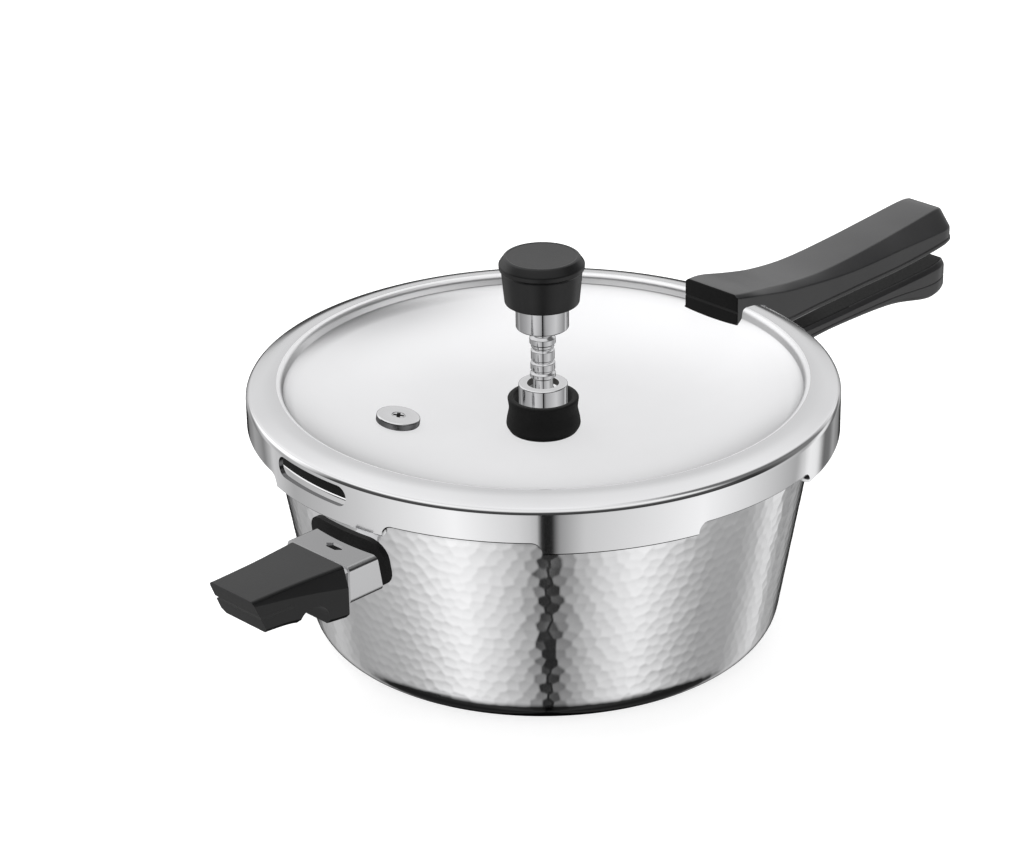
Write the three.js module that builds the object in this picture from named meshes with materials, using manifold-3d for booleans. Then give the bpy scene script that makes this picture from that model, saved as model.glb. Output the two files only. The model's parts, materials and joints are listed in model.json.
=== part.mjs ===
// Outer-lid pressure cooker: a tapered pot with a lugged flange, a dished lid that turns
// onto the lugs, and a lift-off weight on the vent tube.
// Millimetres, +Z up. The origin is the centre of the base, and +X runs along the long handles.
import * as THREE from 'three';
import { mergeVertices } from 'three/addons/utils/BufferGeometryUtils.js';
import Module from 'manifold-3d';

const wasm = await Module();
wasm.setup();

// Clearances
const SEAT_GAP = 0.2;
const POCKET_GAP = 0.4;
const TURN_GAP = 0.8;
const LID_PLAY = 0.7;

// Mesh steps round a full turn
const ROUND_STEPS = 60;
const SMALL_STEPS = 24;
const FASTENER_STEPS = 12;

// Pot
const POT_HEIGHT = 97;
const POT_BASE_RADIUS = 95;
const POT_FLARE = 0.172;
const POT_WALL = 2.5;
const POT_CORNER = 13;
const FLANGE_THICKNESS = 6.6;
const FLANGE_REACH = 2.4;

// Bayonet
const LUG_COUNT = 6;
const LUG_ANGLE = 29.5;
const LUG_PHASE = -0.7;
const LUG_GRIP = 3.2;

// Lid
const LID_SHEET = 2;
const LID_SHOULDER_RADIUS = 3;
const LID_CHANNEL_DEPTH = 10.2;
const LID_RIM_FALL = 3.2;
const LID_RIM_WIDTH = 14.6;
const LID_CREST_RADIUS = 3.2;
const LID_WALL_DEPTH = 6;
const LID_WALL_LEAN = 1.6;
const LID_DISH_DEPTH = 19;
const LID_DISH_POWER = 3;
const LID_SEAT_RADIUS = 18;
const LID_CUTOUT_HEIGHT = 4.6;
const LID_CUTOUT_CORNER = 4.4;
const SLOT_WIDTH = 42;
const SLOT_HEIGHT = 8.6;
const SLOT_DROP = 2.4;
const SLOT_ANGLE = 176;

// Gasket
const GASKET_GROOVE = 2.2;

// Vent
const VENT_THREAD_RADIUS = 5.2;
const VENT_NECK_RADIUS = 4;
const VENT_RING_RADIUS = 5.3;
const VENT_BORE_RADIUS = 1.6;
const CUP_RADIUS = 15;
const CUP_WALL = 2.6;
const CUP_HEIGHT = 11.4;
const CUP_FLOOR = 2.6;
const COLLAR_RADIUS = 10;
const COLLAR_RISE = 9;
const STEM_SHOWN = 24.4;
const STEM_HIDDEN = 14;
const LOCK_NUT_FLATS = 19;
const LOCK_NUT_HEIGHT = 6;
const WASHER_THICKNESS = 1.4;

// Weight
const WEIGHT_RADIUS = 10.7;
const WEIGHT_SHOWN = 10.9;
const WEIGHT_ROOF = 4;
const CAP_HEIGHT = 20;
const CAP_BASE_RADIUS = 15.4;
const CAP_SHOULDER_RADIUS = 17.3;
const CAP_TOP_RADIUS = 15.6;
const CAP_ROOF = 3;
const NEEDLE_RADIUS = 2.2;
const NEEDLE_TIP = 3.5;

// Safety valve
const VALVE_PLACE_RADIUS = 59.5;
const VALVE_PLACE_ANGLE = 133;
const VALVE_SEAT_RISE = 0.8;
const VALVE_HEAD_RADIUS = 9;
const VALVE_HEAD_HEIGHT = 3;
const VALVE_SHANK_RADIUS = 5;
const VALVE_SHANK_LENGTH = 11;
const VALVE_NUT_FLATS = 15;
const VALVE_NUT_HEIGHT = 4;
const PLUG_RADIUS = 2.6;
const PLUG_SLOT_WIDTH = 0.9;
const PLUG_SLOT_DEPTH = 1;

// Brackets and screws
const BRACKET_THICKNESS = 2.2;
const BRACKET_WIDTH = 18;
const BRACKET_PAD_WIDTH = 28;
const BRACKET_PAD_HEIGHT = 16;
const BRACKET_TAB_WIDTH = 22;
const BRACKET_TAB_HEIGHT = 7;
const BRACKET_LENGTH = 45;
const SCREW_RADIUS = 2;
const SCREW_HEAD_RADIUS = 4;
const SCREW_HEAD_HEIGHT = 2.4;
const SCREW_SINK = 0.6;
const SCREW_OFFSET = 20;
const SCREW_GRIP = 1.4;
const DRIVE_WIDTH = 0.8;
const DRIVE_DEPTH = 0.9;

// Long handles
const HANDLE_LENGTH = 126;
const HANDLE_LAG = 3;
const POT_HANDLE_STANDOFF = 7;
const POT_HANDLE_DROP = 5.4;
const LID_BRACKET_RISE = 10.9;
const LID_HANDLE_LIP = 3;

// Helper handle
const HELPER_DROP = 14.6;
const HELPER_STANDOFF = 16;
const HELPER_LENGTH = 44;
const HELPER_ARM_DEPTH = 8;
const HELPER_ARM_WIDTH = 14;
const HELPER_ARM_LENGTH = 36;
const HELPER_PAD_WIDTH = 24;
const HELPER_PAD_HEIGHT = 16;
const HELPER_PAD_THICKNESS = 1.2;
const HELPER_ARCH_OFFSET = 17;
const HELPER_ARCH_RADIUS = 6;
const HELPER_ARCH_DEPTH = 17.5;
const HELPER_SCREW_OFFSET = 31;
const HELPER_END_LEAN = 23;
const SPACER_WALL = 1;
const SPACER_WIDTH = 42;
const SPACER_RISE = 7.5;
const SPACER_FALL = 15.5;
const SPACER_CORNER = 6;
const FERRULE_WIDTH = 36;
const FERRULE_DEPTH = 16;
const FERRULE_CORNER = 2;
const FERRULE_WALL = 1.2;
const WINDOW_LENGTH = 9;
const WINDOW_WIDTH = 4;
const WINDOW_OFFSET = 4.5;

const steel = () => new THREE.MeshStandardMaterial({ color: 0xc9cbcc, roughness: 0.22, metalness: 1 });
const satinSteel = () => new THREE.MeshStandardMaterial({ color: 0xb4b6b8, roughness: 0.35, metalness: 1 });
const blackPlastic = () => new THREE.MeshStandardMaterial({ color: 0x1b1b1c, roughness: 0.45, metalness: 0 });
const blackRubber = () => new THREE.MeshStandardMaterial({ color: 0x141414, roughness: 0.8, metalness: 0 });
const brass = () => new THREE.MeshStandardMaterial({ color: 0xb08d4a, roughness: 0.35, metalness: 1 });

const cooker = new THREE.Group();
const radians = THREE.MathUtils.degToRad;

// Mesh and solid helpers

// Merge shared corners, drop flat triangles and turn the faces outwards.
function cleaned(geometry) {
  const bare = new THREE.BufferGeometry();
  bare.setAttribute('position', geometry.getAttribute('position').clone());
  if (geometry.index) bare.setIndex(geometry.index.clone());
  const merged = mergeVertices(bare, 1e-4);
  const position = merged.getAttribute('position');
  const index = merged.index.array;
  const kept = [];
  let volume = 0;
  const a = new THREE.Vector3();
  const b = new THREE.Vector3();
  const c = new THREE.Vector3();
  for (let i = 0; i < index.length; i += 3) {
    const [p, q, r] = [index[i], index[i + 1], index[i + 2]];
    if (p === q || q === r || r === p) continue;
    kept.push(p, q, r);
    a.fromBufferAttribute(position, p);
    b.fromBufferAttribute(position, q);
    c.fromBufferAttribute(position, r);
    volume += a.dot(b.cross(c));
  }
  if (volume < 0) kept.reverse();
  merged.setIndex(kept);
  return merged;
}

function toSolid(geometry) {
  const mesh = cleaned(geometry);
  return new wasm.Manifold(new wasm.Mesh({
    numProp: 3,
    vertProperties: new Float32Array(mesh.getAttribute('position').array),
    triVerts: new Uint32Array(mesh.index.array),
  }));
}

function toGeometry(solid) {
  const mesh = solid.getMesh();
  const geometry = new THREE.BufferGeometry();
  geometry.setAttribute('position', new THREE.BufferAttribute(new Float32Array(mesh.vertProperties), 3));
  geometry.setIndex(new THREE.BufferAttribute(new Uint32Array(mesh.triVerts), 1));
  geometry.computeVertexNormals();
  return geometry;
}

function addPiece(name, solid, material) {
  const mesh = new THREE.Mesh(toGeometry(solid), material);
  mesh.name = name;
  cooker.add(mesh);
}

// Revolve an outline of [radius, height] pairs about +Z.
function revolve(outline, steps = ROUND_STEPS) {
  const points = outline.map(([radius, height]) => new THREE.Vector2(radius, height));
  return toSolid(new THREE.LatheGeometry(points, steps).rotateX(Math.PI / 2));
}

// Revolve a closed ring outline, whose first point is repeated at the end.
function revolveRing(outline, steps = ROUND_STEPS) {
  return revolve([...outline, outline[0]], steps);
}

// A plain disc or cylinder between two heights.
function cylinder(radius, low, high, steps = SMALL_STEPS) {
  return revolve([[0, low], [radius, low], [radius, high], [0, high]], steps);
}

function box(low, high) {
  const size = high.map((value, i) => value - low[i]);
  const centre = high.map((value, i) => (value + low[i]) / 2);
  return toSolid(new THREE.BoxGeometry(...size).translate(...centre));
}

// A flat outline in X and Y, raised between two heights.
function prism(shape, low, high, curveSteps = 6) {
  const options = { depth: high - low, bevelEnabled: false, curveSegments: curveSteps };
  return toSolid(new THREE.ExtrudeGeometry(shape, options).translate(0, 0, low));
}

function hexPrism(flats, low, high) {
  const corner = flats / Math.sqrt(3);
  const corners = [0, 60, 120, 180, 240, 300].map((angle) => (
    new THREE.Vector2(corner * Math.cos(radians(angle)), corner * Math.sin(radians(angle)))
  ));
  return prism(new THREE.Shape(corners), low, high);
}

// Points on an arc in the radius and height plane, both ends included.
function arc(centreRadius, centreHeight, radius, from, to, steps) {
  const points = [];
  for (let i = 0; i <= steps; i += 1) {
    const angle = radians(from + ((to - from) * i) / steps);
    points.push([centreRadius + radius * Math.cos(angle), centreHeight + radius * Math.sin(angle)]);
  }
  return points;
}

// Skin a row of convex sections with equal corner counts and close both ends.
function loft(sections) {
  const count = sections[0].length;
  const positions = sections.flat().flatMap((point) => [point.x, point.y, point.z]);
  const index = [];
  for (let s = 0; s + 1 < sections.length; s += 1) {
    for (let i = 0; i < count; i += 1) {
      const j = (i + 1) % count;
      const here = s * count;
      const next = here + count;
      index.push(here + i, here + j, next + j, here + i, next + j, next + i);
    }
  }
  const last = (sections.length - 1) * count;
  for (let i = 1; i + 1 < count; i += 1) {
    index.push(0, i + 1, i, last, last + i, last + i + 1);
  }
  const geometry = new THREE.BufferGeometry();
  geometry.setAttribute('position', new THREE.Float32BufferAttribute(positions, 3));
  geometry.setIndex(index);
  return toSolid(geometry);
}

// Read a value along a row of [place, value] pairs, smoothed between them.
function along(row, place) {
  const curve = new THREE.SplineCurve(row.map(([x, y]) => new THREE.Vector2(x, y)));
  const first = row[0][0];
  const last = row[row.length - 1][0];
  if (place <= first) return row[0][1];
  if (place >= last) return row[row.length - 1][1];
  let low = 0;
  let high = 1;
  for (let i = 0; i < 40; i += 1) {
    const middle = (low + high) / 2;
    if (curve.getPoint(middle).x < place) low = middle;
    else high = middle;
  }
  return curve.getPoint(low).y;
}

// A bar along X with a flat top, wide top chamfers and small lower edges.
function chamferedBar(places, { halfWidth, topHalfWidth, top, shoulder, bottom, lowerEdge }) {
  return loft(places.map((x) => {
    const w = along(halfWidth, x);
    const t = along(topHalfWidth, x);
    const high = along(top, x);
    const side = along(shoulder, x);
    const low = along(bottom, x);
    const outline = [
      [-t, high], [-w, side], [-w, low + lowerEdge], [lowerEdge - w, low],
      [w - lowerEdge, low], [w, low + lowerEdge], [w, side], [t, high],
    ];
    return outline.map(([y, z]) => new THREE.Vector3(x, y, z));
  }));
}

function spread(from, to, count) {
  return Array.from({ length: count }, (_, i) => from + ((to - from) * i) / (count - 1));
}

// Pot

const FLARE_ANGLE = THREE.MathUtils.radToDeg(Math.atan(POT_FLARE));
const FLARE_LENGTH = Math.hypot(1, POT_FLARE);
const wallRadius = (height) => POT_BASE_RADIUS + POT_FLARE * height;
const mouthRadius = wallRadius(POT_HEIGHT);
const flangeRadius = mouthRadius + FLANGE_REACH;
const lugRadius = flangeRadius + LUG_GRIP;
const flangeLow = POT_HEIGHT - FLANGE_THICKNESS;
const lidRadius = lugRadius + LID_PLAY + LID_SHEET;

// The rounded corner between the flat base and the flared wall, set in by a depth of material.
function potCorner(depth, radius) {
  const height = depth + radius;
  const centre = wallRadius(height) - (depth + radius) * FLARE_LENGTH;
  return arc(centre, height, radius, -90, -FLARE_ANGLE, 5);
}

function lugGap(innerRadius, low, high, phase) {
  const half = radians((360 / LUG_COUNT - LUG_ANGLE) / 2);
  const outerRadius = lidRadius + 5;
  const shape = new THREE.Shape();
  shape.absarc(0, 0, outerRadius, -half, half, false);
  shape.absarc(0, 0, innerRadius, half, -half, true);
  return prism(shape, low, high, 8).rotate([0, 0, phase]);
}

function potBody() {
  const innerMouth = mouthRadius - POT_WALL * FLARE_LENGTH;
  const outline = [
    [0, 0],
    ...potCorner(0, POT_CORNER),
    [wallRadius(flangeLow - 2), flangeLow - 2],
    [flangeRadius - 1, flangeLow],
    [lugRadius - 0.6, flangeLow],
    [lugRadius, flangeLow + 0.6],
    [lugRadius, POT_HEIGHT - 0.8],
    [lugRadius - 0.8, POT_HEIGHT],
    [innerMouth + 1, POT_HEIGHT],
    [innerMouth, POT_HEIGHT - 1],
    ...potCorner(POT_WALL, POT_CORNER - POT_WALL).reverse(),
    [0, POT_WALL],
  ];
  let body = revolve(outline);
  for (let i = 0; i < LUG_COUNT; i += 1) {
    const middle = LUG_PHASE + (360 / LUG_COUNT) * (i + 0.5);
    body = body.subtract(lugGap(flangeRadius, flangeLow - 1, POT_HEIGHT + 1, middle));
  }
  return body;
}

addPiece('pot_body', potBody(), steel());

// Lid

const channelHeight = POT_HEIGHT + LID_CHANNEL_DEPTH;
const crestHeight = channelHeight + LID_SHEET;
const shoulderHeight = crestHeight - LID_RIM_FALL;
const lipTop = flangeLow - TURN_GAP;
const skirtBottom = lipTop - LID_SHEET;
const lipRadius = flangeRadius + TURN_GAP;
const crestInner = lidRadius - LID_RIM_WIDTH;
const panelEdge = crestInner - LID_WALL_LEAN;
const panelEdgeHeight = crestHeight - LID_WALL_DEPTH;
const panelHeight = panelEdgeHeight - LID_DISH_DEPTH;
const wallFoot = LID_WALL_LEAN;

// Height of the dish: flat under the vent, then rising to the rim wall.
function dishHeight(radius) {
  const share = Math.max(0, radius - LID_SEAT_RADIUS) / (panelEdge - LID_SEAT_RADIUS);
  return panelHeight + LID_DISH_DEPTH * share ** LID_DISH_POWER;
}

const dishSlope = (radius) => Math.atan(dishHeight(radius + 0.5) - dishHeight(radius - 0.5));

// The rim from the dish edge over the crest to the shoulder, at a depth below the top surface.
function rimOutline(depth) {
  const crest = LID_CREST_RADIUS - depth;
  const shoulder = LID_SHOULDER_RADIUS - depth;
  return [
    ...arc(crestInner + LID_CREST_RADIUS, crestHeight - LID_CREST_RADIUS, crest, 180, 80, 3),
    ...arc(lidRadius - LID_SHOULDER_RADIUS, shoulderHeight - LID_SHOULDER_RADIUS, shoulder, 76, 0, 3),
  ];
}

function tangentCutter(width, low, high, corner, angle) {
  const half = width / 2;
  const shape = new THREE.Shape();
  shape.moveTo(-half, low);
  shape.lineTo(half, low);
  shape.lineTo(half, high - corner);
  shape.absarc(half - corner, high - corner, corner, 0, Math.PI / 2, false);
  shape.absarc(corner - half, high - corner, corner, Math.PI / 2, Math.PI, false);
  const depth = lidRadius + 5 - lipRadius * Math.cos(radians(LUG_ANGLE / 2));
  const options = { depth, bevelEnabled: false, curveSegments: 4 };
  const geometry = new THREE.ExtrudeGeometry(shape, options).translate(0, 0, -lidRadius - 5);
  return toSolid(geometry.rotateX(Math.PI / 2)).rotate([0, 0, angle - 90]);
}

function slotCutter() {
  const radius = SLOT_HEIGHT / 2;
  const half = SLOT_WIDTH / 2 - radius;
  const middle = shoulderHeight - SLOT_DROP - radius;
  const shape = new THREE.Shape();
  shape.absarc(half, middle, radius, -Math.PI / 2, Math.PI / 2, false);
  shape.absarc(-half, middle, radius, Math.PI / 2, Math.PI * 1.5, false);
  const depth = LID_SHEET + 10;
  const options = { depth, bevelEnabled: false, curveSegments: 5 };
  const geometry = new THREE.ExtrudeGeometry(shape, options).translate(0, 0, -lidRadius - 5);
  return toSolid(geometry.rotateX(Math.PI / 2)).rotate([0, 0, SLOT_ANGLE - 90]);
}

// Place a solid made about +Z at the safety valve's seat, square to the dish there.
function atValve(solid) {
  const tilt = THREE.MathUtils.radToDeg(dishSlope(VALVE_PLACE_RADIUS));
  return solid
    .rotate([0, -tilt, 0])
    .translate([VALVE_PLACE_RADIUS, 0, dishHeight(VALVE_PLACE_RADIUS)])
    .rotate([0, 0, VALVE_PLACE_ANGLE]);
}

function lid() {
  const dish = [LID_SEAT_RADIUS, ...spread(LID_SEAT_RADIUS, panelEdge, 6).slice(1)];
  const top = dish.map((radius) => [radius, dishHeight(radius)]);
  const under = dish.map((radius) => [
    radius + LID_SHEET * Math.sin(dishSlope(radius)),
    dishHeight(radius) - LID_SHEET * Math.cos(dishSlope(radius)),
  ]);
  const outline = [
    [0, panelHeight],
    ...top,
    [crestInner - wallFoot / 4, panelEdgeHeight + wallFoot],
    ...rimOutline(0),
    [lidRadius, skirtBottom],
    [lipRadius, skirtBottom],
    [lipRadius, lipTop],
    [lidRadius - LID_SHEET, lipTop],
    ...rimOutline(LID_SHEET).reverse(),
    [crestInner + LID_SHEET, panelEdgeHeight],
    ...under.reverse(),
    [0, panelHeight - LID_SHEET],
  ];
  let body = revolve(outline);
  const chord = 2 * lidRadius * Math.sin(radians((360 / LUG_COUNT - LUG_ANGLE) / 2));
  for (let i = 0; i < LUG_COUNT; i += 1) {
    const middle = LUG_PHASE + (360 / LUG_COUNT) * (i + 0.5);
    const top = skirtBottom + LID_CUTOUT_HEIGHT;
    body = body.subtract(tangentCutter(chord, skirtBottom - 5, top, LID_CUTOUT_CORNER, middle));
  }
  body = body.subtract(slotCutter());
  const ventHole = VENT_THREAD_RADIUS + SEAT_GAP;
  body = body.subtract(cylinder(ventHole, panelHeight - 10, panelHeight + 10));
  const valveHole = VALVE_SHANK_RADIUS + SEAT_GAP;
  return body.subtract(atValve(cylinder(valveHole, -10, 10)));
}

addPiece('lid', lid(), steel());

// The gasket fills the channel under the rim and rests on the pot's flange.
function gasket() {
  const low = POT_HEIGHT + SEAT_GAP;
  const inner = crestInner + LID_SHEET + POCKET_GAP;
  const outer = lidRadius - LID_SHEET - POCKET_GAP;
  const crestEnd = crestInner + LID_CREST_RADIUS;
  const fall = LID_RIM_FALL / (lidRadius - LID_SHOULDER_RADIUS - crestEnd);
  const roof = (radius) => channelHeight - POCKET_GAP - fall * (radius - crestEnd);
  const middle = (low + channelHeight) / 2;
  return revolveRing([
    [inner + 1.5, low], [outer - 0.8, low], [outer, low + 0.8], [outer, roof(outer) - 1.6],
    [outer - 1.6, roof(outer - 1.6)], [inner + 2, roof(inner + 2)],
    [inner, roof(inner) - 2], [inner, middle + 1.6],
    [inner + GASKET_GROOVE, middle], [inner, middle - 1.6],
  ]);
}

addPiece('lid_gasket', gasket(), blackRubber());

// Vent

const cupLow = panelHeight + SEAT_GAP;
const cupTop = cupLow + CUP_HEIGHT;
const collarLow = cupLow + CUP_FLOOR + SEAT_GAP;
const collarTop = cupTop + COLLAR_RISE;
const washerTop = panelHeight - LID_SHEET - SEAT_GAP;
const lockNutTop = washerTop - WASHER_THICKNESS - SEAT_GAP;
const tubeBottom = lockNutTop - LOCK_NUT_HEIGHT - 2;
const weightLow = collarTop + STEM_SHOWN;
const tubeTop = weightLow + STEM_HIDDEN;

function ventCup() {
  const hole = VENT_THREAD_RADIUS + SEAT_GAP;
  const outline = [
    [hole, cupLow], [CUP_RADIUS - 1.6, cupLow], [CUP_RADIUS - 0.4, cupLow + 0.6], [CUP_RADIUS, cupLow + 2],
    [CUP_RADIUS - 0.7, cupTop - 0.8], [CUP_RADIUS - 1.4, cupTop],
    [CUP_RADIUS - CUP_WALL - 0.3, cupTop], [CUP_RADIUS - CUP_WALL - 0.6, cupTop - 0.5],
    [CUP_RADIUS - CUP_WALL - 0.6, cupLow + CUP_FLOOR], [hole, cupLow + CUP_FLOOR],
  ];
  return revolveRing(outline, SMALL_STEPS);
}

function ventCollar() {
  const hole = VENT_THREAD_RADIUS + SEAT_GAP;
  const counterbore = VENT_RING_RADIUS + 0.9;
  const outline = [
    [hole, collarLow], [COLLAR_RADIUS, collarLow], [COLLAR_RADIUS, collarTop - 1],
    [COLLAR_RADIUS - 1, collarTop], [counterbore + 0.6, collarTop], [counterbore, collarTop - 0.6],
    [counterbore, collarTop - 2.6], [hole, collarTop - 3.4],
  ];
  return revolveRing(outline, SMALL_STEPS);
}

// The tube: a thread through the lid, a ring above the collar and a barb for the weight.
function ventTube() {
  const neck = VENT_NECK_RADIUS;
  const ring = VENT_RING_RADIUS;
  const thread = VENT_THREAD_RADIUS;
  const low = collarTop;
  return revolveRing([
    [VENT_BORE_RADIUS, tubeBottom], [thread - 0.6, tubeBottom], [thread, tubeBottom + 0.6],
    [thread, low - 1], [neck, low + 1.4], [neck, low + 4], [ring, low + 4.8],
    [ring, low + 6.6], [neck, low + 7.4], [neck, low + 14.2],
    [ring, low + 18.6], [ring, low + 20], [neck, low + 21.2],
    [neck, tubeTop - 3.5], [VENT_BORE_RADIUS + 0.9, tubeTop], [VENT_BORE_RADIUS, tubeTop],
  ], 16);
}

function hexNut(flats, holeRadius, low, high) {
  const crown = flats / 2 + 1;
  const nut = hexPrism(flats, low, high).intersect(revolve([
    [0, low], [crown - 1, low], [crown + 0.6, low + 1.2], [crown + 0.6, high], [0, high],
  ], SMALL_STEPS));
  return nut.subtract(cylinder(holeRadius, low - 1, high + 1));
}

function washer(outer, holeRadius, low, high) {
  return revolveRing([[holeRadius, low], [outer, low], [outer, high], [holeRadius, high]], SMALL_STEPS);
}

addPiece('vent_cup', ventCup(), blackPlastic());
addPiece('vent_collar', ventCollar(), steel());
addPiece('vent_tube', ventTube(), steel());
addPiece(
  'vent_washer',
  washer(LOCK_NUT_FLATS / 2 + 1, VENT_THREAD_RADIUS + SEAT_GAP, washerTop - WASHER_THICKNESS, washerTop),
  blackRubber(),
);
addPiece(
  'vent_lock_nut',
  hexNut(LOCK_NUT_FLATS, VENT_THREAD_RADIUS + SEAT_GAP, lockNutTop - LOCK_NUT_HEIGHT, lockNutTop),
  satinSteel(),
);

// Weight

const capLow = weightLow + WEIGHT_SHOWN;
const capTop = capLow + CAP_HEIGHT;
const needleTip = tubeTop - NEEDLE_TIP + SEAT_GAP;
const weightTop = capTop - CAP_ROOF - SEAT_GAP;
const chamberTop = weightTop - WEIGHT_ROOF;

function regulatorWeight() {
  const chamber = VENT_RING_RADIUS + 0.5;
  const outer = WEIGHT_RADIUS;
  return revolveRing([
    [chamber + 0.8, weightLow], [outer - 0.6, weightLow], [outer, weightLow + 0.6], [outer, weightTop - 1],
    [outer - 1, weightTop], [NEEDLE_RADIUS + SEAT_GAP, weightTop],
    [NEEDLE_RADIUS + SEAT_GAP, chamberTop], [chamber, chamberTop], [chamber, weightLow + 0.8],
  ], SMALL_STEPS);
}

function regulatorCap() {
  const inner = WEIGHT_RADIUS + SEAT_GAP;
  const flare = capTop - 3.6;
  return revolve([
    [0, capTop - CAP_ROOF], [inner, capTop - CAP_ROOF], [inner, capLow],
    [CAP_BASE_RADIUS - 0.5, capLow], [CAP_BASE_RADIUS, capLow + 0.5],
    [CAP_BASE_RADIUS + 0.7, flare - 3], [CAP_SHOULDER_RADIUS - 0.3, flare - 0.9],
    [CAP_SHOULDER_RADIUS, flare],
    [CAP_SHOULDER_RADIUS - 0.1, flare + 1.2], [CAP_TOP_RADIUS + 0.5, capTop - 0.7],
    [CAP_TOP_RADIUS - 0.6, capTop - 0.1], [0, capTop],
  ], 30);
}

// The needle hangs in the weight and closes the bore of the vent tube.
function regulatorNeedle() {
  const seatHeight = tubeTop + SEAT_GAP;
  const point = VENT_BORE_RADIUS - SEAT_GAP;
  return revolve([
    [0, needleTip], [0.5, needleTip], [point, seatHeight - 0.2], [point, seatHeight],
    [NEEDLE_RADIUS, seatHeight + 0.6], [NEEDLE_RADIUS, weightTop - 0.4], [0, weightTop - 0.4],
  ], FASTENER_STEPS);
}

addPiece('regulator_weight', regulatorWeight(), steel());
addPiece('regulator_cap', regulatorCap(), blackPlastic());
addPiece('regulator_needle', regulatorNeedle(), satinSteel());

// Safety valve

const valveWasherTop = -LID_SHEET - SEAT_GAP;
const valveNutTop = valveWasherTop - WASHER_THICKNESS - SEAT_GAP;

function valveBody() {
  const head = VALVE_HEAD_RADIUS;
  const shank = VALVE_SHANK_RADIUS;
  const hole = PLUG_RADIUS + SEAT_GAP;
  return revolveRing([
    [hole, -VALVE_SHANK_LENGTH], [shank, -VALVE_SHANK_LENGTH],
    [shank, VALVE_SEAT_RISE], [head, VALVE_SEAT_RISE],
    [head, VALVE_SEAT_RISE + VALVE_HEAD_HEIGHT - 0.5], [head - 0.5, VALVE_SEAT_RISE + VALVE_HEAD_HEIGHT],
    [hole + 0.8, VALVE_SEAT_RISE + VALVE_HEAD_HEIGHT], [hole, VALVE_SEAT_RISE + VALVE_HEAD_HEIGHT - 0.8],
  ], SMALL_STEPS);
}

function valvePlug() {
  const top = VALVE_SEAT_RISE + VALVE_HEAD_HEIGHT - 0.8;
  const slot = PLUG_SLOT_WIDTH / 2;
  const reach = PLUG_RADIUS * 0.8;
  return cylinder(PLUG_RADIUS, 1 - VALVE_SHANK_LENGTH, top, FASTENER_STEPS)
    .subtract(box([-reach, -slot, top - PLUG_SLOT_DEPTH], [reach, slot, top + 1]))
    .subtract(box([-slot, -reach, top - PLUG_SLOT_DEPTH], [slot, reach, top + 1]));
}

addPiece('safety_valve_body', atValve(valveBody()), steel());
addPiece('safety_valve_plug', atValve(valvePlug()), brass());
addPiece(
  'safety_valve_washer',
  atValve(washer(
    VALVE_NUT_FLATS / 2 + 1, VALVE_SHANK_RADIUS + SEAT_GAP, valveWasherTop - WASHER_THICKNESS, valveWasherTop,
  )),
  blackRubber(),
);
addPiece(
  'safety_valve_nut',
  atValve(hexNut(
    VALVE_NUT_FLATS, VALVE_SHANK_RADIUS + SEAT_GAP, valveNutTop - VALVE_NUT_HEIGHT, valveNutTop,
  )),
  satinSteel(),
);

// Brackets and screws

// A pan-head screw about +Z, its head at the bottom.
function screw(headLow, tip) {
  const headTop = headLow + SCREW_HEAD_HEIGHT;
  const reach = SCREW_HEAD_RADIUS * 0.55;
  const half = DRIVE_WIDTH / 2;
  const drive = box([-reach, -half, headLow - 1], [reach, half, headLow + DRIVE_DEPTH]);
  return revolve([
    [0, headLow], [SCREW_HEAD_RADIUS - 1, headLow], [SCREW_HEAD_RADIUS, headLow + 1],
    [SCREW_HEAD_RADIUS, headTop], [SCREW_RADIUS, headTop], [SCREW_RADIUS, tip - 0.8],
    [SCREW_RADIUS - 0.8, tip], [0, tip],
  ], FASTENER_STEPS).subtract(drive);
}

// The hole for a screw: a counterbore for its head and a clear way for its shank.
function screwHole(headLow, tip) {
  const headTop = headLow + SCREW_HEAD_HEIGHT + SEAT_GAP;
  return cylinder(SCREW_HEAD_RADIUS + POCKET_GAP, 0, headTop, FASTENER_STEPS)
    .add(cylinder(SCREW_RADIUS + SEAT_GAP, headTop - 1, tip + SEAT_GAP, FASTENER_STEPS));
}

function shankHole(low) {
  const radius = SCREW_RADIUS + SEAT_GAP;
  return cylinder(radius, low - 1, low + BRACKET_THICKNESS + 1, FASTENER_STEPS);
}

// A plate along the flared wall, from start to end off it, on one side of the pot (+1 for +X, -1 for -X).
function wallPad(width, low, high, start, end, side) {
  const pad = revolveRing([
    [wallRadius(low) + start, low],
    [wallRadius(low) + end, low],
    [wallRadius(high) + end, high],
    [wallRadius(high) + start, high],
  ]);
  const near = [0, side * 2 * lidRadius].sort((a, b) => a - b);
  return pad.intersect(box([near[0], -width / 2, low - 1], [near[1], width / 2, high + 1]));
}

function arm(from, to, low, width) {
  const ends = [from, to].sort((a, b) => a - b);
  return box([ends[0], -width / 2, low], [ends[1], width / 2, low + BRACKET_THICKNESS]);
}

function armPocket(from, to, low, width) {
  const ends = [from, to].sort((a, b) => a - b);
  return box(
    [ends[0] - POCKET_GAP, -width / 2 - POCKET_GAP, low - POCKET_GAP],
    [ends[1] + POCKET_GAP, width / 2 + POCKET_GAP, low + BRACKET_THICKNESS + POCKET_GAP],
  );
}

// Long handles

const handleEnd = lidRadius + HANDLE_LENGTH;
const bracketEnd = lidRadius + BRACKET_LENGTH;
const screwPlace = lidRadius + SCREW_OFFSET;
const padEnd = SEAT_GAP + BRACKET_THICKNESS;
const potBracketHeight = skirtBottom - POT_HANDLE_DROP;
const potHandleStart = wallRadius(potBracketHeight) + POT_HANDLE_STANDOFF;
const potHandleEnd = handleEnd - HANDLE_LAG;

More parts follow.
